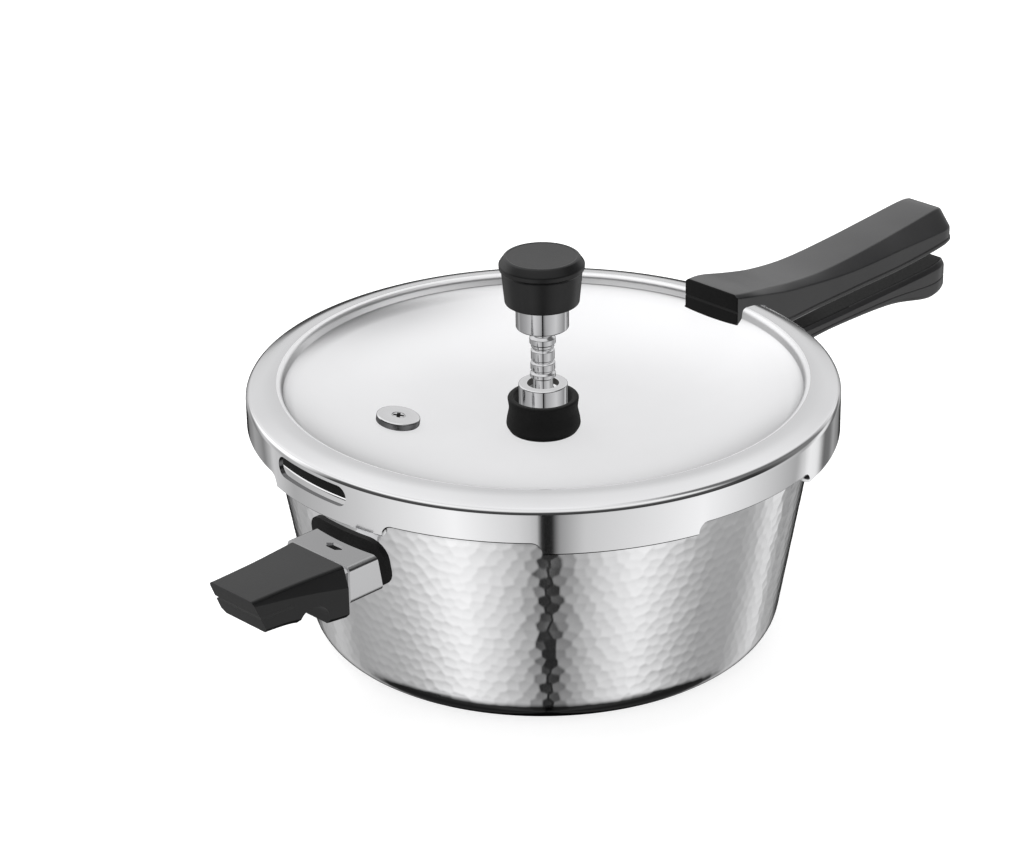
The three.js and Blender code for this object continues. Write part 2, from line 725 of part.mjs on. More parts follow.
// Rows of [share of the length, size]; heights count from the bracket.
const potHandleForm = {
  halfWidth: [[0, 13.2], [0.27, 14.5], [0.7, 16.5], [0.9, 17], [0.97, 15.6], [1, 13]],
  topHalfWidth: [[0, 12.2], [0.27, 13], [0.7, 15], [0.9, 15.5], [0.97, 14], [1, 11.6]],
  top: [[0, 4], [0.27, 4.6], [0.58, 6.6], [0.86, 8.4], [0.97, 9.2], [1, 8.8]],
  shoulder: [[0, 2.6], [0.27, 3], [0.58, 4.6], [0.86, 6.2], [0.97, 6.8], [1, 6.8]],
  bottom: [[0, -9.4], [0.11, -6], [0.27, -3], [0.43, -1.6], [0.69, -2], [0.9, -6.6], [1, -4.2]],
  lowerEdge: 2,
};

// Turn a form's shares into places along X and its heights into heights over the base.
function placedForm(form, from, to, base) {
  const place = (share) => from + (to - from) * share;
  const widths = (row) => row.map(([share, size]) => [place(share), size]);
  const heights = (row) => row.map(([share, size]) => [place(share), base + size]);
  return {
    halfWidth: widths(form.halfWidth),
    topHalfWidth: widths(form.topHalfWidth),
    top: heights(form.top),
    shoulder: heights(form.shoulder),
    bottom: heights(form.bottom),
    lowerEdge: form.lowerEdge,
  };
}

const potHandleRows = placedForm(potHandleForm, potHandleStart, potHandleEnd, potBracketHeight);
const potScrewHead = along(potHandleRows.bottom, screwPlace) + SCREW_SINK;
const potScrewTip = potBracketHeight + BRACKET_THICKNESS + SCREW_GRIP;

function potHandle() {
  const places = spread(potHandleStart, potHandleEnd, 16);
  return chamferedBar(places, potHandleRows)
    .subtract(armPocket(potHandleStart - 1, bracketEnd, potBracketHeight, BRACKET_WIDTH))
    .subtract(screwHole(potScrewHead, potScrewTip).translate([screwPlace, 0, 0]));
}

function potBracket() {
  const top = potBracketHeight + BRACKET_THICKNESS;
  const root = wallRadius(top) + SEAT_GAP + BRACKET_THICKNESS / 2;
  return wallPad(BRACKET_PAD_WIDTH, top - BRACKET_PAD_HEIGHT, top, SEAT_GAP, padEnd, 1)
    .add(arm(root, bracketEnd, potBracketHeight, BRACKET_WIDTH))
    .subtract(shankHole(potBracketHeight).translate([screwPlace, 0, 0]));
}

addPiece('pot_handle_bracket', potBracket(), satinSteel());
addPiece('pot_handle', potHandle(), blackPlastic());
addPiece('pot_handle_screw', screw(potScrewHead, potScrewTip).translate([screwPlace, 0, 0]), satinSteel());

const lidBracketHeight = skirtBottom + LID_BRACKET_RISE;
const lidHandleStart = panelEdge - LID_HANDLE_LIP;

// Rows of [share of the length, size]; heights count from the crest of the lid.
const lidHandleForm = {
  halfWidth: [
    [0, 15.2], [0.06, 16.6], [0.17, 15.6], [0.31, 15], [0.51, 16], [0.75, 17], [0.945, 17], [1, 14],
  ],
  topHalfWidth: [
    [0, 13], [0.06, 14], [0.17, 12], [0.31, 11], [0.61, 10.4], [0.945, 9.4], [1, 7.6],
  ],
  top: [
    [0, 6.6], [0.06, 6.8], [0.15, 2.8], [0.265, 0.2], [0.41, -0.8],
    [0.6, 0.4], [0.8, 2.8], [0.96, 4.8], [1, 3.2],
  ],
  shoulder: [
    [0, 5.2], [0.06, 5.4], [0.15, 0.8], [0.27, -2.4], [0.51, -4.4], [0.75, -3.4], [0.96, -3.2], [1, -3.2],
  ],
  bottom: [
    [0, -9], [0.07, -9.6], [0.13, -15.2], [0.245, -16.8], [0.37, -16],
    [0.56, -14.6], [0.75, -13.4], [1, -10.2],
  ],
  lowerEdge: 1.5,
};
const lidHandleRows = placedForm(lidHandleForm, lidHandleStart, handleEnd, crestHeight);
const lidScrewHead = along(lidHandleRows.bottom, screwPlace) + SCREW_SINK;
const lidScrewTip = lidBracketHeight + BRACKET_THICKNESS + SCREW_GRIP;

// The lid's upper surface with a clearance over it, cut out of the handle that straddles the rim.
function rimClearance() {
  const low = skirtBottom - LID_DISH_DEPTH;
  const dish = spread(LID_SEAT_RADIUS, panelEdge, 6).slice(3);
  return revolveRing([
    [dish[0], low],
    ...dish.map((radius) => [radius - POCKET_GAP, dishHeight(radius) + POCKET_GAP]),
    [crestInner - wallFoot / 4 - POCKET_GAP, panelEdgeHeight + wallFoot],
    ...rimOutline(-POCKET_GAP),
    [lidRadius + POCKET_GAP, low],
  ]);
}

function lidBracket() {
  const root = lidRadius + SEAT_GAP;
  const end = root + BRACKET_THICKNESS;
  const top = lidBracketHeight + BRACKET_THICKNESS;
  const low = top - BRACKET_TAB_HEIGHT;
  const half = BRACKET_TAB_WIDTH / 2;
  const tab = revolveRing([[root, low], [end, low], [end, top], [root, top]])
    .intersect(box([0, -half, low - 1], [2 * lidRadius, half, top + 1]));
  return tab
    .add(arm(root + BRACKET_THICKNESS / 2, bracketEnd, lidBracketHeight, BRACKET_WIDTH))
    .subtract(shankHole(lidBracketHeight).translate([screwPlace, 0, 0]));
}

function lidHandle() {
  const half = BRACKET_TAB_WIDTH / 2 + POCKET_GAP;
  const tabEnd = lidRadius + padEnd + POCKET_GAP;
  const tabTop = lidBracketHeight + BRACKET_THICKNESS + POCKET_GAP;
  const tabRoom = box([crestInner, -half, 0], [tabEnd, half, tabTop]);
  const share = (value) => lidHandleStart + (handleEnd - lidHandleStart) * value;
  const places = [
    ...spread(0, 0.07, 4),
    ...spread(0.1, 0.26, 5),
    ...spread(0.34, 0.94, 9),
    0.975,
    1,
  ].map(share);
  return chamferedBar(places, lidHandleRows)
    .subtract(rimClearance())
    .subtract(tabRoom)
    .subtract(armPocket(lidRadius, bracketEnd, lidBracketHeight, BRACKET_WIDTH))
    .subtract(screwHole(lidScrewHead, lidScrewTip).translate([screwPlace, 0, 0]));
}

addPiece('lid_handle_bracket', lidBracket(), satinSteel());
addPiece('lid_handle', lidHandle(), blackPlastic());
addPiece('lid_handle_screw', screw(lidScrewHead, lidScrewTip).translate([screwPlace, 0, 0]), satinSteel());

// Helper handle

const helperTop = skirtBottom - HELPER_DROP;
const helperMiddle = helperTop - HELPER_ARM_DEPTH;
const helperArmLow = helperMiddle - BRACKET_THICKNESS / 2;
const helperStart = wallRadius(helperTop) + HELPER_STANDOFF;
const helperEnd = helperStart + HELPER_LENGTH;
const helperArmEnd = -(helperStart + HELPER_ARM_LENGTH);
const helperScrewPlace = -(helperStart + HELPER_SCREW_OFFSET);
const helperPadEnd = SEAT_GAP + HELPER_PAD_THICKNESS;
const spacerEnd = helperPadEnd + POCKET_GAP + SPACER_WALL;

// A rounded block across the handle, from stations of [distance from the axis, width, top, bottom].
function helperBlock(stations, corner) {
  return loft(stations.map(([place, width, top, bottom]) => {
    const w = width / 2;
    const outline = [
      [-w + corner, top], [-w, top - corner], [-w, bottom + corner], [corner - w, bottom],
      [w - corner, bottom], [w, bottom + corner], [w, top - corner], [w - corner, top],
    ];
    return outline.map(([y, z]) => new THREE.Vector3(-place, y, z));
  }));
}

// The flared wall as a solid cone with a layer of a given depth on it.
function wallCone(layer) {
  return revolve([
    [0, 0], [wallRadius(0) + layer, 0], [wallRadius(POT_HEIGHT) + layer, POT_HEIGHT], [0, POT_HEIGHT],
  ]);
}

function helperPad(gap, start, end) {
  const half = HELPER_PAD_HEIGHT / 2 + gap;
  return wallPad(HELPER_PAD_WIDTH + 2 * gap, helperMiddle - half, helperMiddle + half, start, end, -1);
}

function helperBracket() {
  const root = -(wallRadius(helperMiddle) + SEAT_GAP + HELPER_PAD_THICKNESS / 2);
  return helperPad(0, SEAT_GAP, helperPadEnd)
    .add(arm(root, helperArmEnd, helperArmLow, HELPER_ARM_WIDTH))
    .subtract(shankHole(helperArmLow).translate([helperScrewPlace, 0, 0]));
}

const helperArmRoom = () => armPocket(0, helperArmEnd, helperArmLow, HELPER_ARM_WIDTH);

// The heat-guard spacer follows the pot's wall and covers the bracket's pad.
function helperSpacer() {
  const top = helperTop + SPACER_RISE;
  const bottom = helperTop - SPACER_FALL;
  const outline = helperBlock(
    [[0, SPACER_WIDTH, top, bottom], [2 * lidRadius, SPACER_WIDTH, top, bottom]],
    SPACER_CORNER,
  );
  return wallPad(SPACER_WIDTH + 2, bottom - 1, top + 1, SEAT_GAP, spacerEnd, -1)
    .intersect(outline)
    .subtract(helperPad(POCKET_GAP, -1, helperPadEnd + POCKET_GAP))
    .subtract(helperArmRoom());
}

// The steel ferrule is a sleeve round the bracket's arm, with a six-sided window on top.
function helperFerrule() {
  const bottom = helperTop - FERRULE_DEPTH;
  const end = helperStart - SEAT_GAP;
  const start = wallRadius(bottom) - 10;
  const inset = 2 * FERRULE_WALL;
  const innerTop = helperTop - FERRULE_WALL;
  const outer = helperBlock(
    [[start, FERRULE_WIDTH, helperTop, bottom], [end, FERRULE_WIDTH, helperTop, bottom]],
    FERRULE_CORNER,
  );
  const innerWidth = FERRULE_WIDTH - inset;
  const innerBottom = bottom + FERRULE_WALL;
  const hollow = helperBlock(
    [[start - 1, innerWidth, innerTop, innerBottom], [end + 1, innerWidth, innerTop, innerBottom]],
    FERRULE_CORNER - FERRULE_WALL / 2,
  );
  const middle = -(wallRadius(helperTop) + spacerEnd + SEAT_GAP + WINDOW_OFFSET);
  const half = WINDOW_WIDTH / 2;
  const reach = WINDOW_LENGTH / 2;
  const window = new THREE.Shape([
    [-half, half - reach], [0, -reach], [half, half - reach],
    [half, reach - half], [0, reach], [-half, reach - half],
  ].map(([x, y]) => new THREE.Vector2(middle + x, y)));
  return outer
    .subtract(hollow)
    .subtract(wallCone(spacerEnd + SEAT_GAP))
    .subtract(prism(window, innerTop - 1, helperTop + 1));
}

// Rows of [share of the length, size]; heights count from the top.
const helperForm = {
  halfWidth: [[0, 17.6], [0.5, 14.6], [1, 12.8]],
  topHalfWidth: [[0, 15], [0.5, 13], [1, 12.2]],
  top: [[0, 0], [1, 0]],
  shoulder: [[0, -8.6], [0.5, -5], [1, -2]],
  bottom: [[0, -22], [0.3, -21], [0.55, -16.4], [1, -15.4]],
  lowerEdge: 2,
};
const helperRows = placedForm(helperForm, helperStart, helperEnd, helperTop);
const helperScrewHead = along(helperRows.bottom, -helperScrewPlace) + SCREW_SINK;
const helperScrewTip = helperArmLow + BRACKET_THICKNESS + SCREW_GRIP;

// The room under the handle's finger arch, open below.
function helperArch() {
  const radius = HELPER_ARCH_RADIUS;
  const low = helperTop - HELPER_ARCH_DEPTH;
  const width = FERRULE_WIDTH;
  const tunnel = cylinder(radius, -width, width, SMALL_STEPS).rotate([90, 0, 0]).translate([0, 0, low]);
  return tunnel
    .add(box([-radius, -width, 0], [radius, width, low]))
    .translate([-(helperStart + HELPER_ARCH_OFFSET), 0, 0]);
}

// The room outside the handle's end face, which leans in towards the bottom.
function helperEndRoom() {
  return box([-HELPER_LENGTH, -HELPER_LENGTH, -HELPER_LENGTH], [0, HELPER_LENGTH, HELPER_LENGTH])
    .rotate([0, -HELPER_END_LEAN, 0])
    .translate([-helperEnd, 0, helperTop]);
}

function helperHandle() {
  const places = spread(helperStart, helperEnd, 9);
  const bar = chamferedBar(places, helperRows).rotate([0, 0, 180]);
  return bar
    .subtract(helperArch())
    .subtract(helperEndRoom())
    .subtract(helperArmRoom())
    .subtract(screwHole(helperScrewHead, helperScrewTip).translate([helperScrewPlace, 0, 0]));
}

addPiece('helper_bracket', helperBracket(), satinSteel());
addPiece('helper_spacer', helperSpacer(), blackPlastic());
addPiece('helper_ferrule', helperFerrule(), steel());
addPiece('helper_handle', helperHandle(), blackPlastic());
addPiece(
  'helper_screw',
  screw(helperScrewHead, helperScrewTip).translate([helperScrewPlace, 0, 0]),
  satinSteel(),
);

export default cooker;
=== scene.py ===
"""Looks of the outer-lid pressure cooker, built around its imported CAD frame."""

import json
import math

import bmesh
import bpy
import numpy as np
from mathutils import Matrix, Vector


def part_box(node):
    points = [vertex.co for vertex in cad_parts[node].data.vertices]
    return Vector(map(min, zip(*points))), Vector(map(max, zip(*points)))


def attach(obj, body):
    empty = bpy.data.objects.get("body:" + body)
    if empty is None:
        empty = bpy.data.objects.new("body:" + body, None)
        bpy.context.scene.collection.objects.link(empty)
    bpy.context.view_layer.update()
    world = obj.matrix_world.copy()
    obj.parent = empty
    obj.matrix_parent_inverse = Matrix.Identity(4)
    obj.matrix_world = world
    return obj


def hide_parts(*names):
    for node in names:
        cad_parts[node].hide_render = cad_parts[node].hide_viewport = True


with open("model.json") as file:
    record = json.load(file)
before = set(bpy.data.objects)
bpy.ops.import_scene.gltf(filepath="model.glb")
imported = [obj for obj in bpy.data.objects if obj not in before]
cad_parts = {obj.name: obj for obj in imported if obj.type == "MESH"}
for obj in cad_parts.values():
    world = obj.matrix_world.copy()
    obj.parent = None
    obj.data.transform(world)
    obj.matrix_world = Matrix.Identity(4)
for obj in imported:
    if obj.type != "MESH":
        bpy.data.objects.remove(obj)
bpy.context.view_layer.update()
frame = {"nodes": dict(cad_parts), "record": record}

MM = 0.001

# Sizes in millimetres, as in the frame.
LID_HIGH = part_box("lid")[1] / MM
POT_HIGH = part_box("pot_body")[1] / MM
SHEET = 2.0
PLAY = 0.4
LID_RADIUS = LID_HIGH.y
CREST_Z = LID_HIGH.z
POT_TOP = POT_HIGH.z
FLANGE_HEIGHT = 6.6
LIP_PLAY = 0.8
FLANGE_LOW = POT_TOP - FLANGE_HEIGHT
LIP_TOP = FLANGE_LOW - LIP_PLAY
SKIRT_BOTTOM = LIP_TOP - SHEET
RIM_FALL = 3.2
RIM_WIDTH = 14.6
CREST_RADIUS = 3.2
SHOULDER_RADIUS = 3.0
WALL_DEPTH = 6.0
WALL_LEAN = 1.6
DISH_DEPTH = 19.0
DISH_POWER = 3.0
SEAT_RADIUS = 18.0
CUTOUT_HEIGHT = 4.6
CUTOUT_CORNER = 4.4
LUG_COUNT = 6
LUG_HALF = math.radians(29.5 / 2)
LUG_PHASE = math.radians(-0.7)
SLOT_TURN = math.radians(176)
CREST_INNER = LID_RADIUS - RIM_WIDTH
PANEL_EDGE = CREST_INNER - WALL_LEAN
PANEL_EDGE_Z = CREST_Z - WALL_DEPTH
PANEL_Z = PANEL_EDGE_Z - DISH_DEPTH
SHOULDER_Z = CREST_Z - RIM_FALL
POT_BASE = 95.0
POT_FLARE = 0.172
POT_WALL = 2.5
POT_CORNER = 13.0
MOUTH = POT_BASE + POT_FLARE * POT_TOP
FLANGE_WIDTH = 2.4
LUG_GRIP = 3.2
FLANGE_RADIUS = MOUTH + FLANGE_WIDTH
LUG_RADIUS = FLANGE_RADIUS + LUG_GRIP
LIP_RADIUS = FLANGE_RADIUS + LIP_PLAY
ARM_THICKNESS = 2.2
ARM_WIDTH = 18.0
POT_ARM_DROP = 5.4
LID_ARM_RISE = 10.9
POT_ARM_Z = SKIRT_BOTTOM - POT_ARM_DROP
LID_ARM_Z = SKIRT_BOTTOM + LID_ARM_RISE
SCREW_REACH = 20.0
ARM_REACH = 45.0
SCREW_X = LID_RADIUS + SCREW_REACH
ARM_END_X = LID_RADIUS + ARM_REACH
HELPER_LOW, HELPER_HIGH = (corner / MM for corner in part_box("helper_handle"))
HELPER_TOP = HELPER_HIGH.z
HELPER_START, HELPER_END = -HELPER_HIGH.x, -HELPER_LOW.x
HELPER_ARM_DROP = 8.0
HELPER_ARM_Z = HELPER_TOP - HELPER_ARM_DROP - ARM_THICKNESS / 2
HELPER_ARM_WIDTH = 14.0
HELPER_ARM_REACH = 36.0
HELPER_FACE_LEAN = math.tan(math.radians(23))
SPACER_START, SPACER_END = 0.2, 2.8


# Mesh building

def smooth(mesh, angle=40):
    """Shade a mesh smooth, with edges sharper than an angle left sharp."""
    mesh.shade_smooth()
    mesh.set_sharp_from_angle(angle=math.radians(angle))


def mesh_object(name, points, faces, angle=40):
    """A mesh object from points in millimetres."""
    mesh = bpy.data.meshes.new(name)
    mesh.from_pydata([tuple(float(c) * MM for c in p) for p in points], [], faces)
    mesh.validate()
    mesh.update()
    smooth(mesh, angle)
    piece = bpy.data.objects.new(name, mesh)
    bpy.context.scene.collection.objects.link(piece)
    return piece


def rounded(outline, closed=False, steps=5):
    """Replace each corner (x, y, radius) of an outline by an arc; a corner without a radius stays."""
    result = []
    count = len(outline)
    for i, corner in enumerate(outline):
        radius = corner[2] if len(corner) > 2 else 0.0
        here = np.array(corner[:2], float)
        ends = not closed and i in (0, count - 1)
        if radius <= 0 or ends:
            result.append(here)
            continue
        before = np.array(outline[i - 1][:2], float) - here
        after = np.array(outline[(i + 1) % count][:2], float) - here
        a, b = np.linalg.norm(before), np.linalg.norm(after)
        before, after = before / a, after / b
        half = math.acos(max(-1.0, min(1.0, float(before @ after)))) / 2
        if half > math.radians(89) or half < math.radians(2):
            result.append(here)
            continue
        reach = min(radius / math.tan(half), 0.48 * a, 0.48 * b)
        true = reach * math.tan(half)
        middle = (before + after) / np.linalg.norm(before + after)
        centre = here + middle * true / math.sin(half)
        start, end = here + before * reach - centre, here + after * reach - centre
        turn = math.atan2(start[0] * end[1] - start[1] * end[0], float(start @ end))
        for k in range(steps + 1):
            angle = turn * k / steps
            c, s = math.cos(angle), math.sin(angle)
            result.append(centre + np.array([c * start[0] - s * start[1], s * start[0] + c * start[1]]))
    return result


def grid_faces(rows, columns, wrap_rows=False):
    """Quads of a grid whose columns run round a full turn."""
    faces = []
    last = rows if wrap_rows else rows - 1
    for r in range(last):
        below = r * columns
        above = ((r + 1) % rows) * columns
        for c in range(columns):
            n = (c + 1) % columns
            faces.append((below + c, below + n, above + n, above + c))
    return faces


def revolved(name, outline, columns, closed=True):
    """A piece turned about +Z from (radius, height) pairs; an open outline starts and ends on the axis."""
    rows = outline if closed else outline[1:-1]
    turns = np.arange(columns) * 2 * math.pi / columns
    points = []
    for radius, height in rows:
        points.extend((radius * math.cos(t), radius * math.sin(t), height) for t in turns)
    faces = grid_faces(len(rows), columns, closed)
    if not closed:
        first, last = len(points), len(points) + 1
        points.extend([(0, 0, outline[0][1]), (0, 0, outline[-1][1])])
        top = (len(rows) - 1) * columns
        for c in range(columns):
            n = (c + 1) % columns
            faces.append((first, n, c))
            faces.append((last, top + c, top + n))
    return mesh_object(name, points, faces)


def turned(name, rows_of, turns, angle):
    """A closed ring whose (radius, height) outline may change with the turn."""
    outlines = [rows_of(t) for t in turns]
    rows = len(outlines[0])
    points = []
    for r in range(rows):
        for t, outline in zip(turns, outlines):
            radius, height = outline[r]
            points.append((radius * math.cos(t), radius * math.sin(t), height))
    return mesh_object(name, points, grid_faces(rows, len(turns), True), angle)


def lofted(name, sections, angle=40):
    """A skin over sections of equal counts of (x, y, z) points, both ends closed."""
    count = len(sections[0])
    points = [p for section in sections for p in section]
    faces = []
    for s in range(len(sections) - 1):
        here, after = s * count, (s + 1) * count
        for i in range(count):
            j = (i + 1) % count
            faces.append((here + i, here + j, after + j, after + i))
    last = (len(sections) - 1) * count
    faces.append(tuple(range(count))[::-1])
    faces.append(tuple(last + i for i in range(count)))
    return mesh_object(name, points, faces, angle)


def outward(piece):
    """Turn all faces of a closed piece outwards."""
    work = bmesh.new()
    work.from_mesh(piece.data)
    bmesh.ops.recalc_face_normals(work, faces=work.faces)
    work.to_mesh(piece.data)
    work.free()
    return piece


def applied(piece):
    """Bake the modifiers of a piece into its mesh."""
    bpy.context.view_layer.update()
    graph = bpy.context.evaluated_depsgraph_get()
    old, piece.data = piece.data, bpy.data.meshes.new_from_object(piece.evaluated_get(graph))
    piece.modifiers.clear()
    bpy.data.meshes.remove(old)
    return piece


def cut(piece, *cutters, angle=40, keep="DIFFERENCE"):
    """Take the cutters' room out of a piece, or keep only what lies in it, and drop the cutters."""
    outward(piece)
    for cutter in cutters:
        change = piece.modifiers.new("cut", "BOOLEAN")
        change.operation = keep
        change.solver = "EXACT"
        change.object = outward(cutter)
    smooth(applied(piece).data, angle)
    for cutter in cutters:
        bpy.data.objects.remove(cutter)


def block(name, low, high):
    """A plain box used only as a cutter."""
    (a, b, c), (d, e, f) = low, high
    points = [(a, b, c), (d, b, c), (d, e, c), (a, e, c), (a, b, f), (d, b, f), (d, e, f), (a, e, f)]
    faces = [(0, 3, 2, 1), (4, 5, 6, 7), (0, 1, 5, 4), (1, 2, 6, 5), (2, 3, 7, 6), (3, 0, 4, 7)]
    return mesh_object(name, points, faces)


def across(name, outline):
    """A cutter with an (x, z) outline, wider than any handle."""
    return lofted(name, [[(x, y, z) for x, z in outline] for y in (-30, 30)])


def along(row, place):
    """Read a smooth curve through [place, value] pairs."""
    row = np.array(row, float)
    if place <= row[0, 0]:
        return row[0, 1]
    if place >= row[-1, 0]:
        return row[-1, 1]
    i = int(np.searchsorted(row[:, 0], place)) - 1
    p = [row[max(i - 1, 0)], row[i], row[i + 1], row[min(i + 2, len(row) - 1)]]
    t = np.linspace(0, 1, 41)[:, None]
    curve = 0.5 * (
        2 * p[1] + (p[2] - p[0]) * t + (2 * p[0] - 5 * p[1] + 4 * p[2] - p[3]) * t**2
        + (3 * p[1] - p[0] - 3 * p[2] + p[3]) * t**3
    )
    return float(np.interp(place, curve[:, 0], curve[:, 1]))


def dish(radius):
    """Height of the lid's panel at a radius."""
    share = max(0.0, radius - SEAT_RADIUS) / (PANEL_EDGE - SEAT_RADIUS)
    return PANEL_Z + DISH_DEPTH * share**DISH_POWER


# Materials

def tree_of(name):
    """A new material with its nodes, links and shader."""
    material = bpy.data.materials.new(name)
    material.use_nodes = True
    nodes, links = material.node_tree.nodes, material.node_tree.links
    return material, nodes, links, nodes["Principled BSDF"]


def noise_node(nodes, links, scale, detail=4.0, stretch=None):
    """Noise in the object's own space, stretched along its axes if asked."""
    place = nodes.new("ShaderNodeTexCoord")
    noise = nodes.new("ShaderNodeTexNoise")
    noise.inputs["Scale"].default_value = scale
    noise.inputs["Detail"].default_value = detail
    source = place.outputs["Object"]
    if stretch:
        mapping = nodes.new("ShaderNodeMapping")
        mapping.inputs["Scale"].default_value = stretch
        links.new(source, mapping.inputs["Vector"])
        source = mapping.outputs["Vector"]
    links.new(source, noise.inputs["Vector"])
    return noise


def ranged(nodes, links, source, low, high):
    """A value from 0 to 1 brought to a range."""
    limit = nodes.new("ShaderNodeMapRange")
    limit.inputs["To Min"].default_value = low
    limit.inputs["To Max"].default_value = high
    links.new(source, limit.inputs["Value"])
    return limit.outputs["Result"]


def ramp(nodes, links, source, *stops):
    """A colour read from (position, colour) stops."""
    band = nodes.new("ShaderNodeValToRGB")
    band.color_ramp.elements[0].position = stops[0][0]
    band.color_ramp.elements[0].color = (*stops[0][1], 1)
    band.color_ramp.elements[1].position = stops[-1][0]
    band.color_ramp.elements[1].color = (*stops[-1][1], 1)
    for position, colour in stops[1:-1]:
        element = band.color_ramp.elements.new(position)
        element.color = (*colour, 1)
    links.new(source, band.inputs["Fac"])
    return band.outputs["Color"]


def roughen(nodes, links, shader, grain, strength, depth):
    """Bump a surface by a grain."""
    bump = nodes.new("ShaderNodeBump")
    bump.inputs["Strength"].default_value = strength
    bump.inputs["Distance"].default_value = depth
    links.new(grain.outputs["Fac"], bump.inputs["Height"])
    links.new(bump.outputs["Normal"], shader.inputs["Normal"])


def steel(name, tint, low, high, brushing, stretch, metallic=1.0):
    """Steel of a tint, clouded between two roughnesses and finely brushed."""
    material, nodes, links, shader = tree_of(name)
    cloud = noise_node(nodes, links, 18.0)
    grain = noise_node(nodes, links, 900.0, 2.0, stretch)
    darker = [c * 0.96 for c in tint]
    colour = ramp(nodes, links, cloud.outputs["Fac"], (0.3, darker), (0.7, tint))
    links.new(colour, shader.inputs["Base Color"])
    links.new(ranged(nodes, links, cloud.outputs["Fac"], low, high), shader.inputs["Roughness"])
    roughen(nodes, links, shader, grain, brushing, 0.0001)
    shader.inputs["Metallic"].default_value = metallic
    return material


def moulded(name, dark, light, low, high, grain_scale, bump_strength, ior):
    """Moulded plastic or rubber, clouded between two colours and finely grained."""
    material, nodes, links, shader = tree_of(name)
    cloud = noise_node(nodes, links, 40.0)
    grain = noise_node(nodes, links, grain_scale, 3.0)
    colour = ramp(nodes, links, cloud.outputs["Fac"], (0.3, dark), (0.7, light))
    links.new(colour, shader.inputs["Base Color"])
    links.new(ranged(nodes, links, grain.outputs["Fac"], low, high), shader.inputs["Roughness"])
    roughen(nodes, links, shader, grain, bump_strength, 0.0002)
    shader.inputs["IOR"].default_value = ior
    return material


POLISHED = steel("polished_steel_look", (0.88, 0.88, 0.89), 0.04, 0.08, 0.01, (1, 1, 30))
HAMMERED = steel("hammered_steel_look", (0.94, 0.94, 0.95), 0.07, 0.12, 0.02, (1, 1, 1))
PANEL = steel("panel_steel_look", (0.90, 0.90, 0.91), 0.32, 0.4, 0.03, (1, 1, 1), 0.92)
# Darker steel: painted shade on the upward faces of the lid's rim and the vent collar; also the look of the
# valve head and of the plug's crown.
RIM_STEEL_AND_PAINTED_SHADE = steel("rim_steel_and_painted_shade_look", (0.70, 0.70, 0.71), 0.1, 0.16, 0.02, (1, 1, 1))
# Dark steel painted as shade on the lid's slot edge and on the valve head's sides.
EDGE_PAINTED_SHADE = steel("edge_painted_shade_look", (0.14, 0.14, 0.145), 0.2, 0.3, 0.05, (1, 1, 30))
SLEEVE = steel("sleeve_steel_look", (0.70, 0.70, 0.71), 0.14, 0.22, 0.04, (1, 30, 30))
# Darker steel painted as shade on the ferrule's top.
SLEEVE_TOP_PAINTED_SHADE = steel("sleeve_top_painted_shade_look", (0.36, 0.36, 0.365), 0.14, 0.22, 0.04, (1, 30, 30))
TURNED = steel("turned_steel_look", (0.56, 0.56, 0.57), 0.03, 0.06, 0.05, (1, 1, 30))
SATIN = steel("satin_steel_look", (0.74, 0.74, 0.75), 0.24, 0.34, 0.08, (1, 1, 30))
PLASTIC = moulded("black_plastic_look", (0.006, 0.006, 0.0065), (0.010, 0.010, 0.0105),
                  0.3, 0.4, 1500.0, 0.1, 1.42)
HANDLE = moulded("handle_plastic_look", (0.022, 0.022, 0.023), (0.032, 0.032, 0.033),
                 0.26, 0.36, 1500.0, 0.1, 1.62)
# Black rubber of the gasket; also painted shade on handle faces that lie in shade, and the dull look of the
# vent cup and the heat guard.
RUBBER_AND_PAINTED_SHADE = moulded("black_rubber_and_painted_shade_look", (0.006, 0.006, 0.006), (0.010, 0.010, 0.010),
                 0.5, 0.7, 900.0, 0.2, 1.28)
# Dark metal of the fusible plug; also painted shade in the vent collar's bore.
FUSIBLE_METAL_AND_PAINTED_SHADE = steel("fusible_metal_and_painted_shade_look", (0.09, 0.088, 0.085), 0.4, 0.55, 0.1, (1, 1, 1))
LOOK_OF_SLOT = {
    "polished_steel": POLISHED,
    "satin_steel": SATIN,
    "black_plastic": PLASTIC,
    "black_rubber": RUBBER_AND_PAINTED_SHADE,
    "fusible_metal": FUSIBLE_METAL_AND_PAINTED_SHADE,
}


def dress(piece, body, slot, nodes, look=None):
    """Give a piece its look, its CAD body, the nodes that it stands for and its material slot."""
    piece.data.materials.clear()
    piece.data.materials.append(look or LOOK_OF_SLOT[slot])
    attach(piece, body)
    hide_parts(*nodes)
    piece.visible_glossy = False


def zone(piece, look, inside):
    """Give another look to the faces of a dressed piece that pass a test."""
    piece.data.materials.append(look)
    index = len(piece.data.materials) - 1
    for face in piece.data.polygons:
        if inside(face):
            face.material_index = index


# Lid and lugs

def lug_offset(turn, radius):
    """Arc length in mm past the nearest lug's edge: below zero on the lug, above zero in the gap."""
    period = 2 * math.pi / LUG_COUNT
    local = (turn - LUG_PHASE + period / 2) % period - period / 2
    return (abs(local) - LUG_HALF) * radius


def lug_turns(radius, spacing):
    """Turns round the circle, with more of them at the edges of the lugs."""
    turns = set(np.round(np.linspace(0, 2 * math.pi, spacing, endpoint=False), 6).tolist())
    for i in range(LUG_COUNT):
        for side in (-1, 1):
            edge = LUG_PHASE + i * 2 * math.pi / LUG_COUNT + side * LUG_HALF
            for offset in (-1.0, -0.4, -0.2, -0.05, 0.02, 0.1, 0.25, 0.5, 0.9, 1.4, 2.0, 2.7, 3.5, 4.4):
                turns.add(round((edge + side * offset / radius) % (2 * math.pi), 6))
    return sorted(turns)


